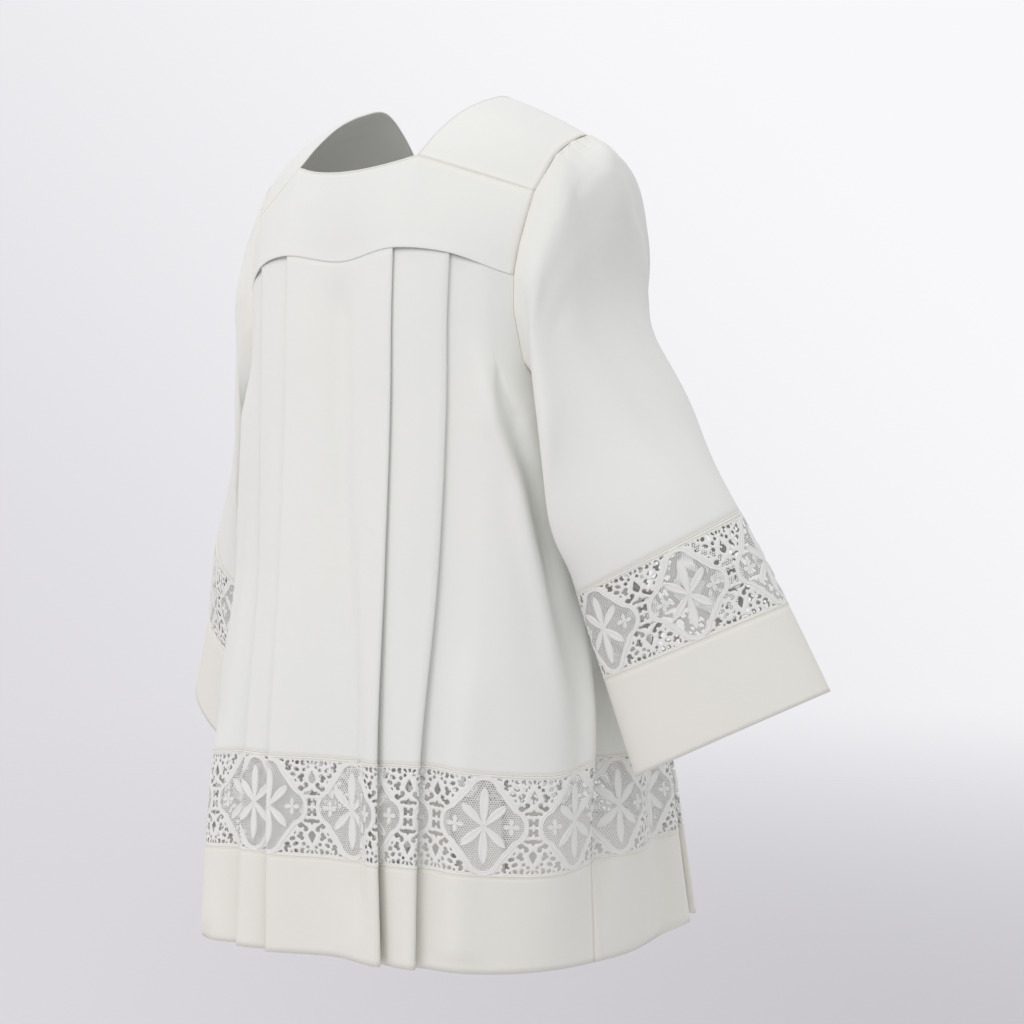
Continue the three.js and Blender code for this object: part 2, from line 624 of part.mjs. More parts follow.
const FRONT_ROWS = ['frontYokeSeam', 'front18', 'front19', 'frontNeck'];
function frontYoke() {
  const halves = [1, -1].map((hand) => {
    const { points, corner } = yokeEdge('front', hand, NECK_SIDE[0].at[0]);
    const neckCorner = outwards(NECK_SIDE[0].at, hand);
    const centre = vector(FRONT_NECK_CENTRE);
    const armholeEnd = armholePoint('frontNeck', hand);
    const columns = points.map((low, j) => {
      const across = shareAcross(points, corner, j);
      const high = j <= corner ? parabola(centre, neckCorner, across) : mix(neckCorner, armholeEnd, across);
      const column = FRONT_ROWS.map((name, i) => {
        if (j < points.length - 1) return bulged(low, high, i / (FRONT_ROWS.length - 1));
        const edge = armholePoint(name, hand);
        if (i === 0) edge.z = low.z;
        return edge;
      });
      NECK_SIDE.slice(1).forEach((row) => {
        const shoulder = j > corner ? across : 0;
        const point = mix(outwards(row.at, hand), armholePoint(row.beside, hand), shoulder);
        const out = point.clone().sub(BODY_AXIS).setX(0).normalize();
        column.push(point.addScaledVector(out, row.swell * swell(shoulder)));
      });
      return column;
    });
    return { columns, corner };
  });
  const columns = [...halves[0].columns.reverse(), ...halves[1].columns.slice(1)];
  const middle = columns[0].map((_, i) => columns.map((column) => column[i]));
  const centre = halves[0].columns.length - 1;
  const open = (i, j) => (
    i >= FRONT_ROWS.length - 1 && j >= centre - halves[0].corner && j < centre + halves[1].corner
  );
  return wall(thicken(middle, open), (i, j) => !open(i, j));
}

// Sleeves: columns follow the armhole, closer together over the cap
const CAP_STEPS = { front21: 3, front22: 6, ridge: 6, back1: 6, back2: 3 };
const SLEEVE_OFFSET = { top: 0.95, bottom: 2.8 };
const columnList = ARMHOLE.flatMap((row, i) => {
  const steps = CAP_STEPS[row.name] ?? 1;
  return Array.from({ length: steps }, (_, k) => ({ from: i, part: k / steps }));
});
const armpitIndex = ARMHOLE.findIndex((row) => row.name === 'armpit');
const armholeLengths = ARMHOLE.map((row, i) => {
  const next = ARMHOLE[(i + 1) % ARMHOLE.length];
  return vector(row.at).distanceTo(vector(next.at));
});
const total = (list) => list.reduce((sum, value) => sum + value, 0);
const backLength = total(armholeLengths.slice(0, armpitIndex));
const frontLength = total(armholeLengths.slice(armpitIndex));

// Share of the way round the sleeve: 0 at the top, 0.5 at the bottom seam, by way of the back
const SHARES = columnList.map(({ from, part }) => {
  const length = total(armholeLengths.slice(0, from)) + part * armholeLengths[from];
  const share = from < armpitIndex ? length / backLength : 1 + (length - backLength) / frontLength;
  return share / 2;
});

function sleeveRow(index, hand) {
  const row = SLEEVES[hand < 0 ? 'right' : 'left'][index];
  return Object.fromEntries(Object.entries(row).map(([side, at]) => [side, outwards(at, hand)]));
}

// Oval ring through its four sides, with points by length around each half
const RING_SAMPLES = 48;
const rings = new Map();
function ovalRing(index, hand) {
  const key = `${index} ${hand}`;
  if (rings.has(key)) return rings.get(key);
  const { top, back, bottom, front } = sleeveRow(index, hand);
  const centre = mix(mix(top, bottom, 0.5), mix(back, front, 0.5), 0.5);
  const halves = [back, front].map((side) => {
    const points = [];
    for (let i = 0; i <= RING_SAMPLES; i += 1) {
      const angle = (Math.PI * i) / RING_SAMPLES;
      const end = angle < Math.PI / 2 ? top : bottom;
      points.push(centre.clone()
        .addScaledVector(end.clone().sub(centre), Math.abs(Math.cos(angle)))
        .addScaledVector(side.clone().sub(centre), Math.sin(angle)));
    }
    const lengths = [0];
    for (let i = 1; i < points.length; i += 1) {
      lengths.push(lengths[i - 1] + points[i].distanceTo(points[i - 1]));
    }
    return { points, lengths };
  });
  rings.set(key, halves);
  return halves;
}

function onOval(index, hand, share) {
  const whole = ((share % 1) + 1) % 1;
  const half = ovalRing(index, hand)[whole < 0.5 ? 0 : 1];
  const target = (whole < 0.5 ? whole * 2 : (1 - whole) * 2) * half.lengths.at(-1);
  let i = 0;
  while (i < half.points.length - 2 && half.lengths[i + 1] < target) i += 1;
  const part = (target - half.lengths[i]) / (half.lengths[i + 1] - half.lengths[i]);
  return mix(half.points[i], half.points[i + 1], part);
}

function onArmhole(hand, share) {
  const whole = ((share % 1) + 1) % 1;
  let length = whole < 0.5 ? whole * 2 * backLength : backLength + (whole - 0.5) * 2 * frontLength;
  let i = 0;
  while (i < ARMHOLE.length - 1 && length > armholeLengths[i]) {
    length -= armholeLengths[i];
    i += 1;
  }
  const [from, to] = [ARMHOLE[i], ARMHOLE[(i + 1) % ARMHOLE.length]];
  const point = mix(vector(from.at), vector(to.at), length / armholeLengths[i]);
  const low = 0.5 - 0.5 * Math.cos(2 * Math.PI * whole);
  point.x += lerp(SLEEVE_OFFSET.top, SLEEVE_OFFSET.bottom, low);
  point.x *= hand;
  return point;
}

const ringPoint = (ring, hand, share) => (
  ring === 0 ? onArmhole(hand, share) : onOval(ring - 1, hand, share)
);

// Gathers over the cap, deepest a little below the seam
const GATHER = { waves: 6, reach: 0.082, depth: 2.6, row: 0.45, end: 2 };
function gather(share, ring) {
  const from = share > 0.5 ? share - 1 : share;
  if (Math.abs(from) > GATHER.reach || ring <= 0 || ring >= GATHER.end) return 0;
  const fade = ring < GATHER.row ? ring / GATHER.row : (GATHER.end - ring) / (GATHER.end - GATHER.row);
  const wave = Math.cos((from / GATHER.reach) * Math.PI * GATHER.waves);
  return GATHER.depth * wave * fade * Math.cos((from / GATHER.reach) * (Math.PI / 2));
}

// A point of the sleeve, smooth from ring to ring
function sleevePoint(hand, share, ring) {
  const i = Math.min(Math.floor(ring), CUFF_END - 1);
  const t = ring - i;
  const [p0, p1, p2, p3] = [i - 1, i, i + 1, i + 2].map(
    (k) => ringPoint(THREE.MathUtils.clamp(k, 0, CUFF_END), hand, share),
  );
  const smoothed = (k) => {
    const [a, b, c, d] = [p0, p1, p2, p3].map((p) => p.getComponent(k));
    return b + 0.5 * t * (c - a + t * (2 * a - 5 * b + 4 * c - d + t * (3 * (b - c) + d - a)));
  };
  return new THREE.Vector3(smoothed(0), smoothed(1), smoothed(2));
}

function sleeveNormal(hand, share, ring) {
  const reach = 0.004;
  const around = sleevePoint(hand, share + reach, ring).sub(sleevePoint(hand, share - reach, ring));
  const low = Math.min(ring + 0.05, CUFF_END);
  const along = sleevePoint(hand, share, low).sub(sleevePoint(hand, share, Math.max(low - 0.1, 0)));
  return around.cross(along).multiplyScalar(hand).normalize().negate();
}

function sleeveFaces(hand, share, ring) {
  const normal = sleeveNormal(hand, share, ring);
  const point = sleevePoint(hand, share, ring).addScaledVector(normal, gather(share, ring));
  return [point.clone().addScaledVector(normal, WALL / 2), point.addScaledVector(normal, -WALL / 2)];
}

const tube = (hand, ringList, shares) => wall(
  ringList.map((ring) => shares.map((share) => sleeveFaces(hand, share, ring))), () => true, true,
);
const RING_GAP = 0.0025;
const SLEEVE_ROWS = [0, 0.45, 1, 2, 3, 4, SLEEVE_LACE_TOP - RING_GAP];
const CUFF_ROWS = [SLEEVE_LACE_BOTTOM + RING_GAP, CUFF_END];

const SLEEVE_GIRTH = 500;
const SLEEVE_PHASE = 12;
function sleeveLace(hand, side) {
  const start = side === 'back' ? 0 : SLEEVE_GIRTH / 2;
  const widths = [...SHARES, 1].map((share) => share * SLEEVE_GIRTH);
  const place = (width, fall) => {
    const ring = lerp(SLEEVE_LACE_TOP + RING_GAP, SLEEVE_LACE_BOTTOM - RING_GAP, fall / LACE_REPEAT);
    return onCell(widths, width, (i) => sleeveFaces(hand, widths[i] / SLEEVE_GIRTH, ring));
  };
  const end = start + SLEEVE_GIRTH / 2;
  return laceStrip(place, start + HALF_GAP, end - HALF_GAP, [], SLEEVE_PHASE, widths);
}

// The garment
const IVORY = new THREE.MeshStandardMaterial({ color: 0xebece6, roughness: 0.85, metalness: 0 });
const LACE = new THREE.MeshStandardMaterial({ color: 0xf0f0ea, roughness: 0.9, metalness: 0 });
const HEM_CLOTH = new THREE.MeshStandardMaterial({ color: 0xe8e6dc, roughness: 0.85, metalness: 0 });

const surplice = new THREE.Group();
function add(name, geometry, material) {
  const mesh = new THREE.Mesh(geometry, material);
  mesh.name = name;
  surplice.add(mesh);
}

add('back_yoke', backYoke(), IVORY);
add('front_yoke', frontYoke(), IVORY);
for (const face of ['back', 'front']) {
  add(`${face}_panel`, panel(face, PANEL_LEVELS), IVORY);
  add(`lace_${face}`, bodyLace(face), LACE);
  add(`hem_${face}`, panel(face, [LACE_BOTTOM - HALF_GAP, HEM]), HEM_CLOTH);
}
for (const [side, hand] of [['right', -1], ['left', 1]]) {
  add(`sleeve_${side}`, tube(hand, SLEEVE_ROWS, SHARES), IVORY);
  add(`cuff_${side}`, tube(hand, CUFF_ROWS, SHARES), HEM_CLOTH);
  add(`sleeve_lace_${side}_back`, sleeveLace(hand, 'back'), LACE);
  add(`sleeve_lace_${side}_front`, sleeveLace(hand, 'front'), LACE);
}

export default surplice;
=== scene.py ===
import math

import bpy
import numpy as np
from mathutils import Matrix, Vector
from mathutils.geometry import delaunay_2d_cdt


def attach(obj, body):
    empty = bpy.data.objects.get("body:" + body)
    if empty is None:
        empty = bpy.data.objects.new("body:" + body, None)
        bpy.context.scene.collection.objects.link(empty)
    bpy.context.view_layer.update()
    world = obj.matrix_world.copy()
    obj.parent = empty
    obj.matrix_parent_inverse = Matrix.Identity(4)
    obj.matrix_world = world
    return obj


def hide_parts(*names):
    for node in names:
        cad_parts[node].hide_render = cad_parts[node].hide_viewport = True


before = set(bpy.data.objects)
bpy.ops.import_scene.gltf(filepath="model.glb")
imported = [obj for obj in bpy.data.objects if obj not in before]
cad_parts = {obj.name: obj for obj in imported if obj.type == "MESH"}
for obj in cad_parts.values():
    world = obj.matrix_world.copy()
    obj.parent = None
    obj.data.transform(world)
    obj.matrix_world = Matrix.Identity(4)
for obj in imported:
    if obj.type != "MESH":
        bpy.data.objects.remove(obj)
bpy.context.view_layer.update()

# Sizes in millimetres, in the frame of the model: the wearer faces -Y, with the right hand at -X
MM = 0.001
YOKE_SEAM = -176
ARMPIT = -335
LACE_TOP = -689
LACE_BOTTOM = -789
HEM = -891
PLEAT_DEPTH = 36
LACE_REPEAT = 100
HALF_GAP = 0.15
CLOTH = 0.7
TINY = 1e-6
SMALLEST = 1e-9


# Camera: level with the middle of the garment, behind the wearer's right shoulder
CAMERA = {"azimuth": 220, "distance": 2600, "height": -408.6, "lens": 85.0, "sensor": 36}
CAMERA_TURN = {"right": 1.8, "down": 0.64}


def make_camera():
    data = bpy.data.cameras.new("camera")
    data.lens = CAMERA["lens"]
    data.sensor_width = CAMERA["sensor"]
    camera = bpy.data.objects.new("camera", data)
    azimuth = math.radians(CAMERA["azimuth"])
    away = Vector((math.sin(azimuth), -math.cos(azimuth), 0)) * CAMERA["distance"] * MM
    camera.location = away + Vector((0, 0, CAMERA["height"] * MM))
    heading = azimuth - math.radians(CAMERA_TURN["right"])
    camera.rotation_euler = (math.radians(90 - CAMERA_TURN["down"]), 0, heading)
    bpy.context.scene.collection.objects.link(camera)
    bpy.context.scene.camera = camera


make_camera()


# Tables of the body, right half, x counted outwards: the same as the solids
STATIONS = (
    "centreBack", "backFold", "backOuterFold", "backCorner", "backSide", "side",
    "frontSide", "frontCorner", "frontOuterFold", "frontFold", "centreFront",
)
BODY = {
    YOKE_SEAM: (
        (0, 152, -3), (73, 155, 7), (130, 134, 0), (179, 95, -22), (197, 57, -22), (203, 15, -22),
        (197, -33, -22), (178, -77, -22), (140, -100, -5), (95, -112, 2), (0, -116, -4),
    ),
    -235: (
        (0, 154, 0), (73, 158, 0), (129, 137, 0), (181, 95, 0), (198, 57, 0), (203, 15, 0),
        (197, -33, 0), (178, -76, 0), (142, -104, 0), (97, -118, 0), (0, -121, 0),
    ),
    ARMPIT: (
        (0, 156, 0), (73, 160, 0), (129, 139, 0), (186, 97, 0), (202, 57, 0), (203, 15, 0),
        (201, -33, 0), (184, -80, 0), (148, -116, 0), (100, -130, 0), (0, -133, 0),
    ),
    -500: (
        (0, 163, 0), (73, 169, 0), (125, 147, 0), (190, 104, 0), (209, 62, 0), (211, 18, 0),
        (211, -40, 0), (194, -104, 0), (160, -146, 0), (108, -162, 0), (0, -164, 0),
    ),
    LACE_TOP: (
        (0, 170, 0), (73, 181, 0), (117, 166, 0), (188, 124, -8), (224, 74, -10), (222, 22, 0),
        (222, -45, 3), (204, -125, 3), (178, -188, 5), (114, -204, 6), (0, -206, 6),
    ),
    HEM: (
        (0, 165, 0), (75, 180, 0), (114, 171, 0), (184, 124, -2), (216, 83, -1), (228.5, 23.6, 0),
        (229, -35, 1), (212, -118, 5), (190, -224, 11), (120, -236, 13), (0, -238, 14),
    ),
}
BODY_LEVELS = list(BODY)
SWING_FROM = -500
LEFT_SWING = {"backFold": (0, 9), "backOuterFold": (8, 16), "backCorner": (20, 26), "backSide": (12, 12)}
PLEAT_SPACE = {YOKE_SEAM: 1.8, ARMPIT: 2.4, -500: 3.2, LACE_TOP: 5, HEM: 7}

ARMHOLE = {
    "ridge": (200, -3, -51), "back1": (199, 23, -60), "back2": (197, 47, -76), "back3": (193.5, 62, -98),
    "shoulderSeam": (190, 73, -114), "back5": (186.5, 81, -140), "back6": (183, 89, -168),
    "backYokeSeam": (180, 94, -198), "back8": (180.5, 95, -235), "back9": (184.5, 85, -285),
    "back10": (193, 62, -315), "back11": (201.5, 40, -329), "armpit": (203, 15, ARMPIT),
    "front13": (201.5, -12, -329), "front14": (194, -39, -315), "front15": (183.5, -66, -285),
    "front16": (178, -76, -235), "frontYokeSeam": (178, -77, -198), "front18": (180, -74, -168),
    "front19": (183, -68, -142), "frontNeck": (187, -60, -118), "front21": (193, -43, -84),
    "front22": (198, -24, -63),
}
ARMHOLE_NAMES = list(ARMHOLE)
ARMPIT_INDEX = ARMHOLE_NAMES.index("armpit")
NECK_SIDE = (
    ("frontNeck", (84, -104, -112), 0), ("front21", (85.5, -78, -62), 3), ("front22", (86.5, -48, -22), 3),
    ("ridge", (87, -17.5, 0), 3), ("back1", (86, 20, -6.8), 6), ("back2", (84.5, 60, -23.6), 9),
    ("back3", (82.7, 96, -48), 7), ("shoulderSeam", (81.7, 126, -75), 0),
)
BACK_NECK_CENTRE = (0, 145, -88)
FRONT_NECK_CENTRE = (0, -111, -117)
BODY_AXIS = np.array((0, 25, -140))

# Rings of the sleeves from the cap to the cuff: top edge, back, bottom edge and front
SLEEVES = {
    -1: (
        ((236, -12, -82), (203, 97, -222), (211, 24, -354), (204, -80, -222)),
        ((236, -20, -140), (211, 98, -262), (216, 36, -385), (209, -76, -258)),
        ((226, -28, -215), (230, 96, -318), (217, 58, -423), (220, -68, -305)),
        ((288, -40, -325), (259, 82, -392), (221, 62, -468), (252, -66, -378)),
        ((354, -53, -437), (325, 47, -477), (226, 50, -518), (256, -47, -477)),
        ((402, -63, -525), (343, 25, -564), (238, 20, -603), (297, -68, -564)),
        ((446, -72, -612), (370, 6, -657), (262, -2, -703), (338, -80, -657)),
    ),
    1: (
        ((234, -12, -82), (202, 94, -222), (211, 24, -354), (204, -80, -222)),
        ((234, -22, -140), (208, 85, -262), (216, 32, -387), (209, -78, -258)),
        ((222, -32, -215), (225, 68, -318), (218, 44, -427), (222, -78, -305)),
        ((276, -44, -325), (251, 56, -392), (222, 46, -474), (252, -78, -378)),
        ((336, -55, -442), (300, 30, -484), (226, 38, -528), (256, -62, -484)),
        ((376, -64, -540), (324, 14, -578), (238, 22, -612), (290, -68, -578)),
        ((420, -74, -640), (350, 0, -680), (262, -2, -720), (328, -78, -680)),
    ),
}
SLEEVE_OFFSET = {"top": 0.95, "bottom": 2.8}
LACE_RING, LACE_END_RING, CUFF_RING = 5, 6, 7
SLEEVE_GIRTH = 500
LACE_PHASE = {"back": 29, "front": 0, "sleeve": 12}
SIDES = {"right": -1, "left": 1}


def lerp(a, b, t):
    return a + (b - a) * t


def clamp01(value):
    return np.clip(value, 0.0, 1.0)


def smoothstep(t):
    t = clamp01(t)
    return t * t * (3 - 2 * t)


def swell(share):
    """0 at both ends of a span and 1 in its middle."""
    return 4 * share * (1 - share)


def unit(vectors):
    return vectors / np.maximum(np.linalg.norm(vectors, axis=-1, keepdims=True), SMALLEST)


def outwards(xyz, hand):
    return np.array((xyz[0] * hand, xyz[1], xyz[2]), float)


def run_along(points):
    """The distance covered at each point of a path, from its first point."""
    return np.cumsum(np.linalg.norm(np.diff(points, axis=0, prepend=points[:1]), axis=1))


def through(a, b, c, d, t):
    """A point between b and c on the smooth curve through four points."""
    return b + 0.5 * t * (c - a + t * (2 * a - 5 * b + 4 * c - d + t * (3 * (b - c) + d - a)))


def smooth(levels, values, level):
    """The value at a level, on a smooth curve through a table."""
    last = len(levels) - 1
    i = 0
    while i < last - 1 and level < levels[i + 1]:
        i += 1

    def slope(k):
        return (values[k + 1] - values[k]) / (levels[k + 1] - levels[k])

    def tangent(k):
        if k == 0:
            return slope(0)
        if k == last:
            return slope(last - 1)
        return (slope(k - 1) + slope(k)) / 2

    span = levels[i + 1] - levels[i]
    t = (level - levels[i]) / span
    start = (1 + 2 * t) * (1 - t) ** 2 * values[i] + t * (1 - t) ** 2 * span * tangent(i)
    return start + t * t * (3 - 2 * t) * values[i + 1] + t * t * (t - 1) * span * tangent(i + 1)


# The body's outline at a level, in quarters from the middle to the side seam
SAMPLES = 12
HALF_SPANS = len(STATIONS) - 1


def station(index, level, hand):
    """One point of the body table at a level, on either half. The left half swings out towards the hem."""
    table = [np.array(BODY[row][index], float) for row in BODY_LEVELS]
    x, y, rise = smooth(BODY_LEVELS, table, level)
    out_x, out_y = LEFT_SWING.get(STATIONS[index], (0, 0))
    swing = clamp01((SWING_FROM - level) / (SWING_FROM - HEM)) if hand > 0 else 0
    return np.array((hand * (x + swing * out_x), y + swing * out_y, level + rise))


def ring_point(points, place):
    """A point of a closed smooth curve through the stations of one level."""
    count = len(points)
    i = int(math.floor(place)) % count
    weight = place - math.floor(place)
    p0, p1, p2, p3 = (points[(i + k) % count] for k in (-1, 0, 1, 2))
    dt0, dt1, dt2 = (max(np.sum((b - a) ** 2), SMALLEST) ** 0.25 for a, b in ((p0, p1), (p1, p2), (p2, p3)))
    t1 = ((p1 - p0) / dt0 - (p2 - p0) / (dt0 + dt1) + (p2 - p1) / dt1) * dt1
    t2 = ((p2 - p1) / dt1 - (p3 - p1) / (dt1 + dt2) + (p3 - p2) / dt2) * dt1
    c2 = -3 * p1 + 3 * p2 - 2 * t1 - t2
    c3 = 2 * p1 - 2 * p2 + t1 + t2
    return p1 + weight * (t1 + weight * (c2 + weight * c3))


def turn_of(face, hand):
    return 1 if (face == "back") == (hand < 0) else -1


def quarter(face, hand, level):
    """The outline of one quarter, with the lengths at which its folds lie."""
    right = [station(i, level, -1) for i in range(len(STATIONS))]
    left = [station(i, level, 1) for i in range(HALF_SPANS - 1, 0, -1)]
    ring = right + left
    start = 0 if face == "back" else HALF_SPANS
    step = turn_of(face, hand)
    spans = HALF_SPANS // 2
    places = [start + step * i / SAMPLES for i in range(spans * SAMPLES + 1)]
    points = np.array([ring_point(ring, place % len(ring)) for place in places])
    runs = np.hypot(*(points[1:] - points[:-1])[:, :2].T)
    lengths = np.concatenate(([0], np.cumsum(runs)))
    before = np.vstack((points[1] * (-1, 1, 1) + (2 * points[0, 0], 0, 0), points[:-1]))
    after = np.vstack((points[1:], points[-1:]))
    tangents = unit((after - before) * (1, 1, 0))
    return {"points": points, "lengths": lengths, "tangents": tangents,
            "fold": lengths[SAMPLES], "outer": lengths[2 * SAMPLES], "end": lengths[-1]}


def along(table, lengths, wanted):
    return np.stack([np.interp(wanted, lengths, table[:, k]) for k in range(3)], axis=-1)


def on_quarter(outline, face, hand, wanted, height):
    """Points at the wanted lengths of an outline, raised by a height."""
    tangent = unit(along(outline["tangents"], outline["lengths"], wanted))
    point = along(outline["points"], outline["lengths"], wanted)
    turn = turn_of(face, hand)
    point[..., 0] += tangent[..., 1] * turn * height
    point[..., 1] -= tangent[..., 0] * turn * height
    return point


YOKE_DROP = {"from": -235, "at_armhole": -198}


def armhole_at(face, hand, z):
    """Where the armhole's edge passes a level."""
    names = ARMHOLE_NAMES[:ARMPIT_INDEX + 1]
    if face == "front":
        names = (ARMHOLE_NAMES[ARMPIT_INDEX:] + ARMHOLE_NAMES[:1])[::-1]
    points = [outwards(ARMHOLE[name], hand) for name in names]
    for upper, lower in zip(points, points[1:]):
        if upper[2] >= z >= lower[2]:
            return lerp(upper, lower, (upper[2] - z) / (upper[2] - lower[2]))
    return points[-1]


def quarter_end(outline, face, hand, level):
    """The length at which the cloth ends, at the side seam or at the armhole, and the way still to go."""
    if level <= ARMPIT:
        return outline["end"] - HALF_GAP, np.zeros(3)
    rise = max((level - YOKE_DROP["from"]) / (YOKE_SEAM - YOKE_DROP["from"]), 0)
    z = lerp(YOKE_DROP["from"], YOKE_DROP["at_armhole"], rise) if rise > 0 else level
    edge = armhole_at(face, hand, z)
    away = np.hypot(*(outline["points"][:, :2] - edge[:2]).T)
    length = outline["lengths"][int(np.argmin(away))]
    return length, edge - on_quarter(outline, face, hand, np.array([length]), 0)[0]


# The pleats of one quarter: knots of [length, height], from the middle to the edge
TIE = 2
# From the outer fold the cloth rises to the flat part: how far, at most, and where the flat part begins
RISE = 50
RISE_SHARE = 0.6
FLAT_FROM = 0.1
STRIP = {"at_fold": -2, "at_outer_fold": -0.3}


def pleat_knots(outline, level, end):
    """Two tucks under the folds, a strip between them, and a rise to the flat cloth beyond."""
    space = smooth(list(PLEAT_SPACE), list(PLEAT_SPACE.values()), level)
    bend = space / 2
    fold, outer = outline["fold"], outline["outer"]
    knots = []

    def strip(length):
        share = clamp01((length - fold) / (outer - fold))
        return space * lerp(STRIP["at_fold"], STRIP["at_outer_fold"], share)

    def flat(length):
        return 0.0

    def run(start, stop, steps, height, offset=0.0):
        for i in range(steps + 1):
            length = lerp(start, stop, i / steps)
            knots.append((length, height(length) + offset * space))

    def tuck(edge, height):
        knots.append((edge, height(edge) - 0.5 * space))
        run(edge - bend, edge - PLEAT_DEPTH + bend, 2, height, -1)
        knots.append((edge - PLEAT_DEPTH, height(edge - PLEAT_DEPTH) - 1.5 * space))
        run(edge - PLEAT_DEPTH + bend, edge - bend, 2, height, -2)

    run(0, fold - PLEAT_DEPTH - bend, 2, flat)
    run(fold - PLEAT_DEPTH, fold - bend, 2, flat)
    tuck(fold, flat)
    run(fold + TIE, outer - bend, 2, strip)
    tuck(outer, strip)
    rise_end = min(RISE, RISE_SHARE * (end - outer))
    low = strip(outer) - 2 * space

    def rising(length):
        return low * (1 - smoothstep((length - outer) / rise_end))

    run(outer + TIE, outer + rise_end, 6, rising)
    run(lerp(outer + rise_end, end, FLAT_FROM), end, 6, flat)
    return np.array(knots)


def laid(outline, face, hand, end, shift, lengths, heights):
    """Points of a quarter, drawn beyond the outer fold towards where the cloth ends."""
    share = clamp01((lengths - outline["outer"]) / (end - outline["outer"]))
    return on_quarter(outline, face, hand, lengths, heights) + shift * (share ** 2)[:, None]


def half_row(face, hand, level, places):
    """Points of one quarter at a level, for places counted in knots."""
    outline = quarter(face, hand, level)
    end, shift = quarter_end(outline, face, hand, level)
    knots = pleat_knots(outline, level, end)
    index = np.arange(len(knots))
    length = np.interp(places, index, knots[:, 0])
    height = np.interp(places, index, knots[:, 1])
    return laid(outline, face, hand, end, shift, length, height)


LACE_MIDDLE = (LACE_TOP + LACE_BOTTOM) / 2
COLUMN_STEP = 5.5
ROW_STEP = 7.0


def half_columns(face, hand):
    """The columns of a quarter: their places, their widths, and the widths of the knots."""
    outline = quarter(face, hand, LACE_MIDDLE)
    end, _ = quarter_end(outline, face, hand, LACE_MIDDLE)
    knots = pleat_knots(outline, LACE_MIDDLE, end)
    points = half_row(face, hand, LACE_MIDDLE, np.arange(len(knots), dtype=float))
    runs = np.linalg.norm(points[1:] - points[:-1], axis=1)
    widths = np.concatenate(([0], np.cumsum(runs)))
    places = [0.0]
    for i, run in enumerate(runs):
        steps = max(1, int(math.ceil(run / COLUMN_STEP)))
        places += [i + (k + 1) / steps for k in range(steps)]
    places = np.array(places)
    return places, np.interp(places, np.arange(len(knots)), widths), widths


def rows_between(start, stop, step):
    return list(np.linspace(start, stop, max(2, int(round(abs(stop - start) / step)) + 1)))


def grid_normals(points, wrap=False):
    down = np.gradient(points, axis=0)
    if wrap:
        across = np.roll(points, -1, axis=1) - np.roll(points, 1, axis=1)
    else:
        ahead = unit(np.diff(points, axis=1))
        across = np.concatenate((ahead[:, :1], ahead[:, :-1] + ahead[:, 1:], ahead[:, -1:]), axis=1)
    return unit(np.cross(down, across))


class Sheet:
    """A face of the body: points for each (level, width), with a smooth outward normal."""

    def __init__(self, face, drapes):
        right_places, right_widths, _ = half_columns(face, -1)
        left_places, left_widths, _ = half_columns(face, 1)
        self.widths = np.concatenate((-left_widths[::-1], right_widths[1:]))
        edges = (YOKE_SEAM - HALF_GAP, LACE_TOP, LACE_BOTTOM, HEM)
        levels = [edges[0]]
        for top, bottom in zip(edges, edges[1:]):
            levels += rows_between(top, bottom, ROW_STEP)[1:]
        self.levels = np.array(levels)
        rows = []
        for level in levels:
            left = half_row(face, 1, level, left_places)[::-1]
            right = half_row(face, -1, level, right_places)[1:]
            rows.append(np.vstack((left, right)))
        points = np.array(rows)
        lift = drape_lift(drapes, self.widths, self.levels)
        towards_front = 1 if face == "back" else -1
        past_right = (self.widths - self.widths[-1]) * towards_front
        past_left = (self.widths[0] - self.widths) * towards_front
        lift += drape_lift(SEAM_DRAPES["right"], past_right, self.levels)
        lift += drape_lift(SEAM_DRAPES["left"], past_left, self.levels)
        flat_normal = grid_normals(points)
        if np.sum(flat_normal[:, len(self.widths) // 2, 1]) * towards_front < 0:
            flat_normal = -flat_normal
        side = unit(flat_normal * (1, 1, 0))
        self.points = points + side * lift[..., None]
        normals = grid_normals(self.points)
        flip = np.sign(np.sum(normals * flat_normal, axis=-1, keepdims=True))
        self.normals = normals * np.where(flip == 0, 1, flip)

    def at(self, widths, levels, offset=0.0):
        return grid_sample(self.points, self.normals, self.widths, -self.levels, widths, -levels, offset)

    def rows(self, top, bottom):
        chosen = (self.levels <= top + TINY) & (self.levels >= bottom - TINY)
        return self.points[chosen], self.levels[chosen]


def grid_sample(points, normals, columns, rows, x, y, offset):
    """Points on a grid at (x, y), lifted along the grid's normals by an offset."""
    i = np.clip(np.searchsorted(rows, y, side="right") - 1, 0, len(rows) - 2)
    j = np.clip(np.searchsorted(columns, x, side="right") - 1, 0, len(columns) - 2)
    v = ((y - rows[i]) / (rows[i + 1] - rows[i]))[:, None]
    u = ((x - columns[j]) / np.maximum(columns[j + 1] - columns[j], SMALLEST))[:, None]

    def mixed(table):
        upper = lerp(table[i, j], table[i, j + 1], u)
        return lerp(upper, lerp(table[i + 1, j], table[i + 1, j + 1], u), v)

    return mixed(points) + unit(mixed(normals)) * np.reshape(offset, (-1, 1))


# Soft folds of the cloth: each runs through (width, level) points of one face
def drape(height, width, *path, grow=0.0, start=0.2, stop=0.2):
    """A fold, or a trough where the height is negative. Grow widens it, start and stop are its fades."""
    return {"height": height, "width": width, "path": np.array(path, float), "grow": grow,
            "start": start, "stop": stop}


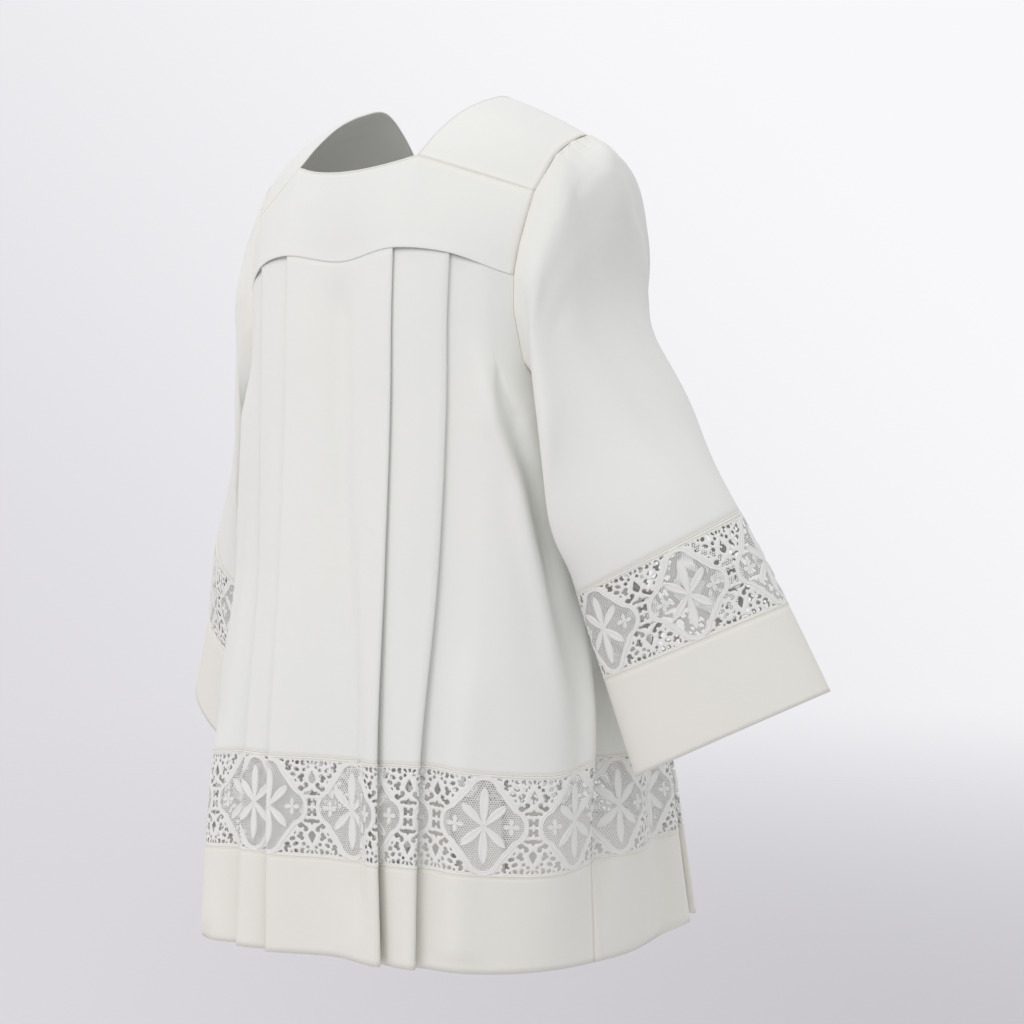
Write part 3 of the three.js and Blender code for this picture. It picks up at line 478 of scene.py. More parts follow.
def line_lift(line, x, y):
    """Height of one soft fold: it swells along its middle and fades out at both ends."""
    path = line["path"]
    best = np.full(x.shape, np.inf)
    share = np.zeros(x.shape)
    runs = np.linalg.norm(path[1:] - path[:-1], axis=1)
    total = runs.sum()
    done = 0.0
    for (ax, ay), (bx, by), run in zip(path, path[1:], runs):
        t = clamp01(((x - ax) * (bx - ax) + (y - ay) * (by - ay)) / run ** 2)
        away = np.hypot(x - (ax + t * (bx - ax)), y - (ay + t * (by - ay)))
        nearer = away < best
        best = np.where(nearer, away, best)
        share = np.where(nearer, (done + t * run) / total, share)
        done += run
    fade = smoothstep(share / line["start"]) * smoothstep((1 - share) / line["stop"])
    width = line["width"] * (1 + line["grow"] * share)
    return line["height"] * fade * np.exp(-((best / width) ** 2))


PINNED = 60


def drape_lift(drapes, widths, levels):
    """The folds of a face together, held flat at the yoke seam."""
    x, y = np.meshgrid(widths, levels)
    return sum(line_lift(line, x, y) for line in drapes) * smoothstep((YOKE_SEAM - y) / PINNED)


# Back panel: paths as (width, level), width to the wearer's right of the middle
BACK_DRAPES = (
    drape(-8, 17, (-5, -170), (0, -324), (4, -422), (18, -527), (31, -626), (38, -720), (40, -880),
          start=0.05, stop=0.1),
    drape(9, 10, (288, -250), (311, -345), (344, -401), (367, -471), (389, -534), (407, -598),
          (418, -680), grow=0.8, stop=0.35),
    drape(-9, 12, (316, -280), (339, -355), (370, -415), (394, -485), (415, -560), (430, -640), grow=0.6,
          stop=0.35),
    drape(8, 12, (-300, -260), (-330, -380), (-372, -520), (-400, -680), grow=0.8),
    drape(-7, 14, (-330, -300), (-366, -430), (-410, -620), grow=0.6),
    drape(4, 22, (300, -560), (306, -700), (304, -885), stop=0.05),
    drape(4, 20, (-330, -640), (-338, -760), (-334, -885), stop=0.05),
)
FRONT_DRAPES = (
    drape(-5, 22, (8, -180), (2, -360), (-12, -560), (-22, -720), (-24, -880), start=0.05, stop=0.1),
    drape(8, 12, (330, -270), (350, -400), (392, -520), (430, -680), grow=0.8),
    drape(-7, 14, (362, -320), (386, -450), (424, -600), grow=0.6),
    drape(8.5, 12, (-330, -270), (-356, -410), (-396, -540), (-424, -690), grow=0.8),
    drape(-7, 14, (-362, -320), (-392, -450), (-430, -600), grow=0.6),
    drape(-12, 26, (392, -640), (398, -760), (396, -889), start=0.4, stop=0.02),
    drape(5, 26, (-400, -660), (-404, -780), (-400, -889), stop=0.05),
)
# Around each side seam: paths as (distance past the seam towards the front, level)
SEAM_DRAPES = {
    "right": (
        drape(13, 13, (-12, -480), (-9, -563), (-8, -626), (-7, -700), (-4, -800), start=0.5, stop=0.5),
        drape(-17, 13, (16, -540), (17, -640), (17, -720), (18, -886), start=0.4, stop=0.45),
        drape(6, 24, (70, -600), (74, -740), (72, -889), start=0.4, stop=0.02),
    ),
    "left": (
        drape(8, 15, (4, -480), (2, -600), (6, -760), start=0.4, stop=0.4),
        drape(-7, 20, (34, -560), (38, -700), (36, -889), start=0.4, stop=0.05),
    ),
}


# Mesh making
def grid_faces(rows, columns, close_rows=False, close_columns=False):
    """The quads of a grid of points, closed round either way."""
    i, j = np.meshgrid(np.arange(rows if close_rows else rows - 1),
                       np.arange(columns if close_columns else columns - 1), indexing="ij")
    k, m = (i + 1) % rows, (j + 1) % columns
    corners = (i * columns + j, i * columns + m, k * columns + m, k * columns + j)
    return np.stack(corners, axis=-1).reshape(-1, 4)


def make_piece(name, slot, points, faces, uv, tone=None, node=None, thickness=0.0):
    """A piece that rides with the garment and stands for a node, if one is given."""
    mesh = bpy.data.meshes.new(name)
    mesh.from_pydata((points * MM).tolist(), [], faces.tolist())
    mesh.polygons.foreach_set("use_smooth", [True] * len(mesh.polygons))
    order = np.zeros(len(mesh.loops), int)
    mesh.loops.foreach_get("vertex_index", order)
    layer = mesh.uv_layers.new(name="cloth")
    layer.data.foreach_set("uv", (uv * MM)[order].ravel())
    attribute = mesh.attributes.new("tone", "FLOAT", "POINT")
    attribute.data.foreach_set("value", np.zeros(len(points)) if tone is None else tone)
    mesh.update()
    piece = bpy.data.objects.new(name, mesh)
    bpy.context.scene.collection.objects.link(piece)
    mesh.materials.append(MATERIALS[slot])
    if thickness:
        solidify = piece.modifiers.new("thickness", "SOLIDIFY")
        solidify.thickness = thickness * MM
        solidify.offset = 0
        solidify.use_quality_normals = True
    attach(piece, "root")
    if node:
        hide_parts(node)
    return piece


def cloth_piece(node, slot, points, across, down, tone, wrap=False, flip=False, keep=None):
    """Plain cloth from a grid of points, with its widths and lengths and the cream of its turnings."""
    faces = grid_faces(*points.shape[:2], close_columns=wrap)
    if keep is not None:
        faces = faces[keep.ravel()]
    if flip:
        faces = faces[:, ::-1]
    used, faces = np.unique(faces, return_inverse=True)
    uv = np.stack(np.meshgrid(across, down), axis=-1).reshape(-1, 2)[used]
    return make_piece(f"{node}_cloth", slot, points.reshape(-1, 3)[used], faces.reshape(-1, 4), uv,
                      tone.ravel()[used] * TURNING_TONE, node, CLOTH)


# Materials
def srgb(r, g, b):
    def linear(c):
        c /= 255
        return c / 12.92 if c <= 0.04045 else ((c + 0.055) / 1.055) ** 2.4
    return (linear(r), linear(g), linear(b), 1.0)


class Nodes:
    """Short hand for building the nodes of a material or of the world."""

    def __init__(self, owner):
        owner.use_nodes = True
        self.owner = owner
        self.tree = owner.node_tree

    def node(self, kind, sockets=None, **settings):
        made = self.tree.nodes.new("ShaderNode" + kind)
        for key, value in settings.items():
            setattr(made, key, value)
        self.fill(made, sockets or {})
        return made

    def fill(self, node, sockets):
        """Sets inputs: a pair of a node and an output is linked, anything else is a value."""
        for socket, value in sockets.items():
            if isinstance(value, tuple) and isinstance(value[0], bpy.types.Node):
                self.tree.links.new(value[0].outputs[value[1]], node.inputs[socket])
            else:
                node.inputs[socket].default_value = value

    def mix(self, factor, first, second, **settings):
        """Two colours mixed: the node numbers its colour sockets 0, 6 and 7, and the result 2."""
        return self.node("Mix", {0: factor, 6: first, 7: second}, data_type="RGBA", **settings), 2

    def spread(self, value, to=(0.0, 1.0), reach=None):
        """A value spread over another range, softly where a reach is given."""
        sockets = {"Value": value, "To Min": to[0], "To Max": to[1]}
        if reach is None:
            return self.node("MapRange", sockets), "Result"
        sockets.update({"From Min": reach[0], "From Max": reach[1]})
        return self.node("MapRange", sockets, interpolation_type="SMOOTHSTEP"), "Result"

    def towards(self, where, direction):
        """How far a place lies in a direction."""
        return self.node("VectorMath", {0: where, 1: direction}, operation="DOT_PRODUCT"), "Value"


WEAVE = {"twill": 32, "waver": 1.2, "bump": 0.0002, "cloud": 5.0, "slub": 900.0}
THREAD_TONE = (0.965, 1.0)
ROUGHNESS = (0.78, 0.9)
CLOTH_SHADER = {"Sheen Roughness": 0.5, "Specular IOR Level": 0.25}
WAVE_TURN = 6.28


def fabric(name, base, dark, cream, thread, bump, sheen):
    """Woven cloth: fine threads both ways, slow changes of colour, cream where a turning shows through."""
    nodes = Nodes(bpy.data.materials.new(name))
    place = (nodes.node("UVMap", uv_map="cloth"), "UV")
    turned = (0, 0, math.radians(WEAVE["twill"]))
    twill = (nodes.node("Mapping", {"Rotation": turned, "Vector": place}), "Vector")
    wave = {"Scale": 1 / (thread * MM) / WAVE_TURN, "Distortion": WEAVE["waver"]}
    warp = nodes.node("TexWave", {**wave, "Detail": 1.0, "Vector": twill}, wave_type="BANDS",
                      bands_direction="X")
    weft = nodes.node("TexWave", {**wave, "Vector": place}, wave_type="BANDS", bands_direction="Y")
    weave = nodes.node("Math", {0: (warp, "Fac"), 1: (weft, "Fac")}, operation="MULTIPLY")
    where = (nodes.node("TexCoord"), "Object")
    cloud = nodes.node("TexNoise", {"Scale": WEAVE["cloud"], "Detail": 3.0, "Roughness": 0.5,
                                    "Vector": where})
    slub = nodes.node("TexNoise", {"Scale": WEAVE["slub"], "Detail": 2.0, "Vector": place})
    toned = nodes.node("Attribute", attribute_name="tone")
    coloured = nodes.mix((toned, "Fac"), nodes.mix((cloud, "Fac"), dark, base), cream)
    threads = nodes.spread((slub, "Fac"), THREAD_TONE)
    shaded = nodes.mix(1.0, coloured, threads, blend_type="MULTIPLY")
    relief = nodes.node("Bump", {"Strength": bump, "Distance": WEAVE["bump"], "Height": (weave, "Value")})
    nodes.fill(nodes.tree.nodes["Principled BSDF"], {
        "Base Color": shaded, "Roughness": nodes.spread((cloud, "Fac"), ROUGHNESS),
        "Normal": (relief, "Normal"), "Sheen Weight": sheen, **CLOTH_SHADER,
    })
    return nodes.owner


MATERIALS = {
    "ivory_cloth": fabric("ivory crepe", srgb(238, 238, 232), srgb(231, 233, 229), srgb(242, 239, 229),
                          0.42, 0.4, 0.12),
    "hem_cloth": fabric("hem crepe", srgb(238, 237, 229), srgb(232, 231, 222), srgb(241, 238, 227),
                        0.42, 0.4, 0.12),
    "lace": fabric("lace thread", srgb(241, 241, 236), srgb(233, 234, 230), srgb(243, 240, 229),
                   0.55, 0.7, 0.15),
}


# Lace, made flat as (x, y, height) in millimetres, x from the middle between two medallions
NET = {"pitch": 2.5, "strand": 0.8, "height": 0.12, "rows": 24, "columns": 20}
TAPE = (
    (-0.5, 0.0), (-0.44, 0.8), (-0.3, 1.0), (-0.16, 0.6), (0.16, 0.6), (0.3, 1.0), (0.44, 0.8), (0.5, 0.0),
)
CORD = ((-0.5, 0.0), (-0.35, 0.75), (0.0, 1.0), (0.35, 0.75), (0.5, 0.0))
PLATE = {"edge": 0.2, "ridge": 0.55, "back": -0.3, "columns": 21, "joint": 0.1}
LACE_HALF = LACE_REPEAT / 2
# Gaps of the ground, from the middle between two medallions: those on the middle line, drawn as right halves
MIDDLE_GAPS = (
    ((0, 6.7), (1.7, 6.5), (1.2, 8.9), (5.7, 8.9), (4.7, 5), (5.6, 1.4), (1.2, 1.4), (1.5, 3.6),
     (0, 3.7)),
    ((0, 18.8), (2.1, 15.8), (4.4, 16.2), (8.6, 15.4), (9.6, 13.2), (7, 12.2), (5.2, 13.5), (3.4, 12.1),
     (0, 12.4)),
    ((0, 37.6), (2.6, 32.8), (4.4, 28.8), (2.5, 25.8), (0, 24)),
    ((0, 44.2), (1.1, 44.4), (1.6, 47.8), (0, 47.8)),
)
# Those of one quarter
QUARTER_GAPS = (
    ((4.6, 24.6), (7.9, 25.6), (9.6, 23.4), (8.4, 21.6), (10.8, 20.4), (12.4, 22.2), (15.4, 21),
     (16.2, 18.6), (13.4, 16), (10.6, 16.6), (8.8, 18.6), (6.4, 19.4), (4.2, 21.8)),
    ((9.4, 33.8), (12.4, 34.4), (14.2, 32), (15.9, 32.2), (17, 30.2), (15.8, 28.4), (14.4, 29.4),
     (14.7, 26.8), (12.4, 25.2), (9.8, 27), (11.2, 29.6), (8.8, 31.2)),
    ((18.6, 34.2), (23.8, 35.6), (25.2, 32.8), (22, 30.6), (18.6, 31.2)),
    ((14.6, 38.2), (18.4, 41), (21.6, 40), (20.2, 37), (16.2, 36)),
    ((7.3, 36.6), (9.8, 36), (11.6, 38), (10, 40.2), (7.4, 39.6)),
    ((22.6, 41.6), (25, 43.4), (26.2, 41.8), (27.8, 43.8), (26.2, 46.4), (28.4, 47.7), (31, 45.6),
     (31.4, 42.4), (29.4, 41), (31.4, 38.6), (28, 36.4), (24.2, 37.8), (25.2, 40)),
    ((8.2, 43), (11.8, 42.4), (13.6, 45), (12.8, 47.7), (8.8, 47.8), (9.8, 45.6)),
    ((2.5, 40.8), (5.4, 39), (6.9, 41.2), (4.7, 43.4)),
    ((2.5, 44), (3.7, 43.8), (7, 46.6), (6, 47.7), (4.4, 47.6)),
    ((15.4, 44.2), (19, 43.2), (20.4, 46.2), (17.6, 47.8), (15, 47)),
    ((22, 45), (24, 46.2), (23, 47.8), (21.4, 47.7)),
    ((33.2, 45.4), (36.2, 46.4), (38.8, 47.8), (33, 47.8)),
    ((18.4, 24.8), (20.6, 27.6), (19.4, 28.8), (17.6, 27)),
)


class Flat:
    """Vertices and triangles of flat lace, gathered piece by piece."""

    def __init__(self):
        self.vertices = []
        self.triangles = []
        self.count = 0

    def add(self, vertices, triangles):
        self.vertices.append(np.asarray(vertices, float))
        self.triangles.append(np.asarray(triangles, int) + self.count)
        self.count += len(vertices)

    def arrays(self):
        return np.vstack(self.vertices), np.vstack(self.triangles)


def ahead_of(path):
    """Which way a closed path runs at each of its points."""
    return unit(unit(np.roll(path, -1, axis=0) - path) + unit(path - np.roll(path, 1, axis=0)))


def strip_of(path, widths, profile, base=0.1, height=1.0, closed=False):
    """A raised tape along a path, by its profile of (share of width, share of height)."""
    path = np.asarray(path, float)
    if closed:
        ahead = ahead_of(path)
    else:
        runs = unit(np.diff(path, axis=0))
        ahead = unit(np.vstack((runs[:1], runs[:-1] + runs[1:], runs[-1:])))
    side = np.stack((-ahead[:, 1], ahead[:, 0]), axis=-1)
    widths = np.broadcast_to(widths, (len(path),))
    rows = []
    for share, lift in profile:
        xy = path + side * (share * widths)[:, None]
        rows.append(np.column_stack((xy, np.full(len(path), base + lift * height))))
    quads = grid_faces(len(path), len(profile), close_rows=closed)
    halves = ((0, 2, 1), (0, 3, 2))
    return np.stack(rows, axis=1).reshape(-1, 3), quads[:, halves].reshape(-1, 3)


def arc(centre, radius, start, stop, steps):
    angles = np.radians(np.linspace(start, stop, steps + 1))
    return [(centre[0] + radius * math.cos(a), centre[1] + radius * math.sin(a)) for a in angles]


# Lobes of a medallion: (middle, radius, first and last angle), and the point between them
SIDE_LOBE = ((25, 0), 18, 0, 72)
TOP_LOBE = ((0, 33), 15, 18, 90)
LOBE_POINT = (23, 26.5)
LOBE_STEPS = 6


def medallion_outline():
    """The quatrefoil: two side lobes and a top and bottom lobe, with a point between each two."""
    first = arc(*SIDE_LOBE, LOBE_STEPS) + [LOBE_POINT] + arc(*TOP_LOBE, LOBE_STEPS)
    second = [(-x, y) for x, y in reversed(first[:-1])]
    upper = first + second
    lower = [(-x, -y) for x, y in upper[1:-1]]
    return np.array(upper + lower)


def flipped(shape, sx, sy):
    made = np.array(shape, float) * (sx, sy)
    return made if sx == sy else made[::-1]


def lace_gaps():
    gaps = []
    for half in MIDDLE_GAPS:
        left = [(-x, y) for x, y in half[::-1] if x > 0]
        gaps += [flipped(list(half) + left, 1, sy) for sy in (1, -1)]
    for shape in QUARTER_GAPS:
        gaps += [flipped(shape, sx, sy) for sx in (1, -1) for sy in (1, -1)]
    return [rounded(gap) for gap in gaps]


CORNER_CUT = {"most": 0.55, "share": 0.3}


def rounded(gap):
    """A gap with its corners cut off."""
    made = []
    for before, corner, after in zip(np.roll(gap, 1, axis=0), gap, np.roll(gap, -1, axis=0)):
        runs = np.linalg.norm((before - corner, after - corner), axis=1)
        cut = min(CORNER_CUT["most"], *(runs * CORNER_CUT["share"]))
        made += [corner + (other - corner) / run * cut for other, run in zip((before, after), runs)]
    return np.array(made)


def shrunk(gap, by):
    """The line a little outside a gap, where its corded edge lies."""
    ahead = ahead_of(gap)
    side = np.stack((ahead[:, 1], -ahead[:, 0]), axis=-1)
    x, y = gap[:, 0], gap[:, 1]
    turned = np.sign(np.sum(x * np.roll(y, -1) - y * np.roll(x, -1)))
    return gap + side * by * turned


def inside(polygon, points):
    x, y = points[:, 0], points[:, 1]
    hit = np.zeros(len(points), bool)
    for (ax, ay), (bx, by) in zip(polygon, np.roll(polygon, -1, axis=0)):
        crosses = (ay > y) != (by > y)
        with np.errstate(divide="ignore", invalid="ignore"):
            hit ^= crosses & (x < (bx - ax) * (y - ay) / (by - ay) + ax)
    return hit


RIDGE = {"out": 0.75, "apart": 0.9, "clear": 0.6}


def ridges(boundary, gaps):
    """Points along the middle of the bars, where the thread is thickest."""
    made = np.vstack([shrunk(gap, RIDGE["out"]) for gap in gaps])
    free = inside(boundary, made)
    for gap in gaps:
        free &= ~inside(shrunk(gap, RIDGE["out"] * RIDGE["clear"]), made)
    kept = []
    for point in made[free]:
        if not kept or np.hypot(*(np.array(kept) - point).T).min() > RIDGE["apart"]:
            kept.append(point)
    return [tuple(point) for point in kept]


SAME_POINT = 1e-5


def lace_plate():
    """The ground of one repeat: a plate with gaps, thin at the edges and ridged along its bars."""
    outline = medallion_outline()
    halves = []
    for sx in (1, -1):
        moved = outline + (sx * LACE_HALF, 0)
        half = moved[np.abs(moved[:, 0]) <= LACE_HALF + TINY]
        halves.append(half[np.argsort(half[:, 1])])
    gaps = lace_gaps()
    edge_x = np.linspace(-LACE_HALF, LACE_HALF, PLATE["columns"])
    right, left = halves
    top = [(x, LACE_HALF) for x in edge_x[::-1]]
    bottom = [(x, -LACE_HALF) for x in edge_x]
    boundary = np.array(bottom + list(right) + top + list(left[::-1]))
    points, edges = [], []

    def add_loop(loop):
        start = len(points)
        points.extend(loop.tolist())
        edges.extend((start + k, start + (k + 1) % len(loop)) for k in range(len(loop)))

    add_loop(boundary)
    for gap in gaps:
        add_loop(gap)
    loops_end = len(points)
    points.extend(ridges(boundary, gaps))
    result = delaunay_2d_cdt([Vector(p) for p in points], edges, [], 0, SAME_POINT)
    xy = np.array([tuple(p) for p in result[0]])
    triangles = np.array(result[2])
    ridge = np.array([any(k >= loops_end for k in origin) for origin in result[3]])
    middle = xy[triangles].mean(axis=1)
    kept = inside(boundary, middle)
    for gap in gaps:
        kept &= ~inside(gap, middle)
    triangles = triangles[kept]
    a, b, c = (xy[triangles[:, k]] for k in range(3))
    turned = ((b - a)[:, 0] * (c - a)[:, 1] - (b - a)[:, 1] * (c - a)[:, 0]) < 0
    triangles[turned] = triangles[turned][:, ::-1]
    height = np.where(ridge, PLATE["ridge"], PLATE["edge"])
    count = len(xy)
    vertices = np.vstack((np.column_stack((xy, height)),
                          np.column_stack((xy, np.full(count, PLATE["back"])))))
    sides = dict.fromkeys(side for p, q, r in triangles.tolist() for side in ((p, q), (q, r), (r, p)))
    joint = np.abs(xy[:, 0]) > LACE_HALF - PLATE["joint"]
    rims = []
    for u, v in sides:
        if (v, u) not in sides and not (joint[u] and joint[v]):
            rims += [(v, u, u + count), (v, u + count, v + count)]
    return vertices, np.vstack((triangles, triangles[:, ::-1] + count, np.array(rims)))


# Half a leaf: shares of its length and of its width
LEAF_RUN = np.array((0, 0.16, 0.38, 0.6, 0.8, 0.93, 1))
LEAF_WIDTH = np.array((0.36, 0.5, 0.85, 1, 0.85, 0.5, 0.12))


def petals(length, width, angle, middle=(0, 0)):
    """Two opposite leaves through one point, pointed at both ends."""
    run = length * np.concatenate((-LEAF_RUN[:0:-1], LEAF_RUN))
    widths = width * np.concatenate((LEAF_WIDTH[:0:-1], LEAF_WIDTH))
    turn = math.radians(angle)
    return np.column_stack((run * math.sin(turn), run * math.cos(turn))) + middle, widths


# Leaves of the flower in the middle of a medallion: (half length, width, angle)
FLOWER = ((39, 9.5, 0), (30, 9, 46), (30, 9, -46))
FLOWER_BASE = 0.15
FLOWER_HEIGHT = 1.2
MEDALLION_TAPE = 4.8
SIDE_FLOWER = {"at": 27.5, "length": 8.5, "width": 5, "angles": (0, 90)}
# Where a leaf hides the net: the middle and half length of the hidden part, and its half width
LEAF_COVER = {"middle": 0.55, "half": 0.3, "width": 0.3}


def medallion():
    """Net, tape and flowers of one medallion, around its middle."""
    outline = medallion_outline()
    made = Flat()
    made.add(*strip_of(outline, MEDALLION_TAPE, TAPE, closed=True))
    for values in FLOWER:
        made.add(*strip_of(*petals(*values), TAPE, base=FLOWER_BASE, height=FLOWER_HEIGHT))
    for sx in (1, -1):
        middle = (sx * SIDE_FLOWER["at"], 0)
        for angle in SIDE_FLOWER["angles"]:
            leaves = petals(SIDE_FLOWER["length"], SIDE_FLOWER["width"], angle, middle)
            made.add(*strip_of(*leaves, TAPE, base=FLOWER_BASE))
    side = NET["pitch"] / math.sqrt(3)
    starts, stops = [], []
    for row in range(-NET["rows"], NET["rows"] + 1):
        for column in range(-NET["columns"], NET["columns"] + 1):
            node = np.array(((column + 0.5 * (row % 2)) * NET["pitch"], row * 1.5 * side))
            for angle in (90, 210, 330):
                turn = math.radians(angle)
                starts.append(node)
                stops.append(node + side * np.array((math.cos(turn), math.sin(turn))))
    starts, stops = np.array(starts), np.array(stops)
    middle = (starts + stops) / 2
    kept = inside(outline, middle) & ~under_flower(middle)
    starts, stops = starts[kept], stops[kept]
    run = unit(stops - starts)
    across = np.column_stack((-run[:, 1], run[:, 0])) * NET["strand"] / 2
    corners = np.stack((starts - across, starts + across, stops + across, stops - across), axis=1)
    count = len(corners)
    vertices = np.column_stack((corners.reshape(-1, 2), np.full(count * 4, NET["height"])))
    first = np.arange(count)[:, None] * 4
    made.add(vertices, np.vstack((first + (0, 2, 1), first + (0, 3, 2))))
    return made.arrays()


def under_flower(points):
    hidden = np.zeros(len(points), bool)
    for length, width, angle in FLOWER:
        turn = math.radians(angle)
        lengthwise = points[:, 0] * math.sin(turn) + points[:, 1] * math.cos(turn)
        across = points[:, 0] * math.cos(turn) - points[:, 1] * math.sin(turn)
        reached = np.abs(np.abs(lengthwise) / length - LEAF_COVER["middle"]) < LEAF_COVER["half"]
        hidden |= reached & (np.abs(across) < width * LEAF_COVER["width"])
    return hidden


PLATE_MESH = lace_plate()
MEDALLION_MESH = medallion()


ON_LINE = 1e-3


def split_at(vertices, triangles, x):
    """Cuts every triangle that crosses a line of equal x, so that the lace can fold along it."""
    away = vertices[:, 0] - x
    away[np.abs(away) < ON_LINE] = 0
    sides = away[triangles]
    crossing = (sides.max(axis=1) > 0) & (sides.min(axis=1) < 0)
    kept = triangles[~crossing].tolist()
    added, made = [], {}

    def cut(a, b):
        key = (min(a, b), max(a, b))
        if key not in made:
            share = away[key[0]] / (away[key[0]] - away[key[1]])
            made[key] = len(vertices) + len(added)
            added.append(lerp(vertices[key[0]], vertices[key[1]], share))
        return made[key]

    for triangle in triangles[crossing].tolist():
        for sign in (1, -1):
            polygon = []
            for a, b in zip(triangle, triangle[1:] + triangle[:1]):
                if away[a] * sign >= 0:
                    polygon.append(a)
                if away[a] * away[b] < 0:
                    polygon.append(cut(a, b))
            kept += [(polygon[0], polygon[k], polygon[k + 1]) for k in range(1, len(polygon) - 1)]
    if added:
        vertices = np.vstack((vertices, added))
    return vertices, np.array(kept)


def lace_strip(start, stop, phase, creases):
    """Flat lace from one width to another, with a medallion at every repeat from the phase."""
    made = Flat()
    first = int(math.floor((start - phase) / LACE_REPEAT)) - 1
    last = int(math.ceil((stop - phase) / LACE_REPEAT)) + 1
    for k in range(first, last + 1):
        middle = phase + k * LACE_REPEAT
        for mesh, centre, reach in (
            (MEDALLION_MESH, middle, LACE_HALF), (PLATE_MESH, middle + LACE_HALF, LACE_HALF),
        ):
            if centre + reach > start and centre - reach < stop:
                made.add(mesh[0] + (centre, 0, 0), mesh[1])
    vertices, triangles = made.arrays()
    for x in (start, stop, *creases):
        if start <= x <= stop:
            vertices, triangles = split_at(vertices, triangles, x)
    centres = vertices[triangles].mean(axis=1)[:, 0]
    triangles = triangles[(centres > start) & (centres < stop)]
    used, triangles = np.unique(triangles, return_inverse=True)
    return vertices[used], triangles.reshape(-1, 3)


# Where the cloth is turned over the lace: (fall from the lace's top edge, width, height)
TRIM = ((-2.6, 0.9, 0.35), (-0.3, 1.9, 0.75), (LACE_REPEAT + 0.3, 1.9, 0.75), (LACE_REPEAT + 2.6, 0.9, 0.35))
TRIM_TONE = 0.3


def lace_piece(name, slot, flat, place, tone=None, node=None):
    """Lace or cord made flat, laid on its sheet."""
    vertices, triangles = flat
    points = place(vertices[:, 0], LACE_HALF - vertices[:, 1], vertices[:, 2])
    return make_piece(name, slot, points, triangles, vertices[:, :2], tone, node)


def lace_work(node, flat, place):
    return lace_piece(f"{node}_work", "lace", flat, place, node=node)


def trim_piece(name, xs, place):
    """Raised cords along both edges of a strip of lace."""
    made = Flat()
    for fall, width, height in TRIM:
        path = np.column_stack((xs, np.full(len(xs), LACE_HALF - fall)))
        made.add(*strip_of(path, width, CORD, base=CLOTH / 2, height=height))
    return lace_piece(f"{name}_trim", "hem_cloth", made.arrays(), place, np.full(made.count, TRIM_TONE))


# The body
SHEETS = {"back": Sheet("back", BACK_DRAPES), "front": Sheet("front", FRONT_DRAPES)}
# How far in the cream of a turning reaches: at seams and edges, and at the top and bottom of the lace
EDGE_TONE = 9.0
OVER_LACE_TONE = 7
UNDER_LACE_TONE = 6
NECK_TONE = 5
EDGE_FADE = 2.5
TURNING_TONE = 0.5


def edge_tone(distance, reach=EDGE_TONE):
    return smoothstep((reach - distance) / EDGE_FADE)


def body_cloth(face):
    sheet = SHEETS[face]
    widths = sheet.widths
    pieces = {}
    for node, slot, top, bottom in (
        (f"{face}_panel", "ivory_cloth", YOKE_SEAM, LACE_TOP), (f"hem_{face}", "hem_cloth", LACE_BOTTOM, HEM),
    ):
        points, levels = sheet.rows(top, bottom)
        x, y = np.meshgrid(widths, levels)
        tone = np.maximum.reduce((
            edge_tone(np.minimum(x - widths[0], widths[-1] - x)),
            edge_tone(np.abs(y - LACE_TOP), OVER_LACE_TONE),
            edge_tone(np.abs(y - LACE_BOTTOM), UNDER_LACE_TONE),
        ))
        pieces[node] = cloth_piece(node, slot, points, widths, levels, tone, flip=face == "back")
    creases = [*(-half_columns(face, 1)[2]), *half_columns(face, -1)[2]]
    flat = lace_strip(widths[0], widths[-1], LACE_PHASE[face], creases)

    def place(width, fall, height):
        return sheet.at(width, LACE_TOP - fall, height)

    pieces[f"lace_{face}"] = lace_work(f"lace_{face}", flat, place)
    pieces[f"trim_{face}"] = trim_piece(f"lace_{face}", widths, place)
    return pieces


BODY_PIECES = {face: body_cloth(face) for face in ("back", "front")}


# Sleeves: the share of the way round is 0 at the top and 0.5 at the bottom seam, by way of the back
ARMHOLE_POINTS = np.array([ARMHOLE[name] for name in ARMHOLE_NAMES + ARMHOLE_NAMES[:1]], float)
ARMHOLE_RUNS = np.linalg.norm(np.diff(ARMHOLE_POINTS, axis=0), axis=1)
BACK_RUN = ARMHOLE_RUNS[:ARMPIT_INDEX].sum()
FRONT_RUN = ARMHOLE_RUNS[ARMPIT_INDEX:].sum()


def sleeve_offset(shares):
    """How far outside the armhole the sleeve begins."""
    low = 0.5 - 0.5 * np.cos(2 * np.pi * shares)
    return lerp(SLEEVE_OFFSET["top"], SLEEVE_OFFSET["bottom"], low)


def on_armhole(hand, shares):
    at = np.concatenate(([0], np.cumsum(ARMHOLE_RUNS)))
    whole = shares % 1
    length = np.where(whole < 0.5, whole * 2 * BACK_RUN, BACK_RUN + (whole - 0.5) * 2 * FRONT_RUN)
    made = along(ARMHOLE_POINTS, at, length)
    made[:, 0] += sleeve_offset(whole)
    made[:, 0] *= hand
    return made


RING_SAMPLES = 96


def on_oval(hand, index, shares):
    """Points of a ring, evenly spaced along the back half and along the front half."""
    top, back, bottom, front = (outwards(at, hand) for at in SLEEVES[hand][index])
    centre = (top + bottom + back + front) / 4
    angles = np.linspace(0, np.pi, RING_SAMPLES + 1)[:, None]
    whole = shares % 1
    made = np.zeros((len(shares), 3))
    for side, chosen, part in ((back, whole < 0.5, whole * 2), (front, whole >= 0.5, (1 - whole) * 2)):
        end = np.where(angles < np.pi / 2, top - centre, bottom - centre)
        points = centre + end * np.abs(np.cos(angles)) + (side - centre) * np.sin(angles)
        lengths = run_along(points)
        found = along(points, lengths, part * lengths[-1])
        made[chosen] = found[chosen]
    return made


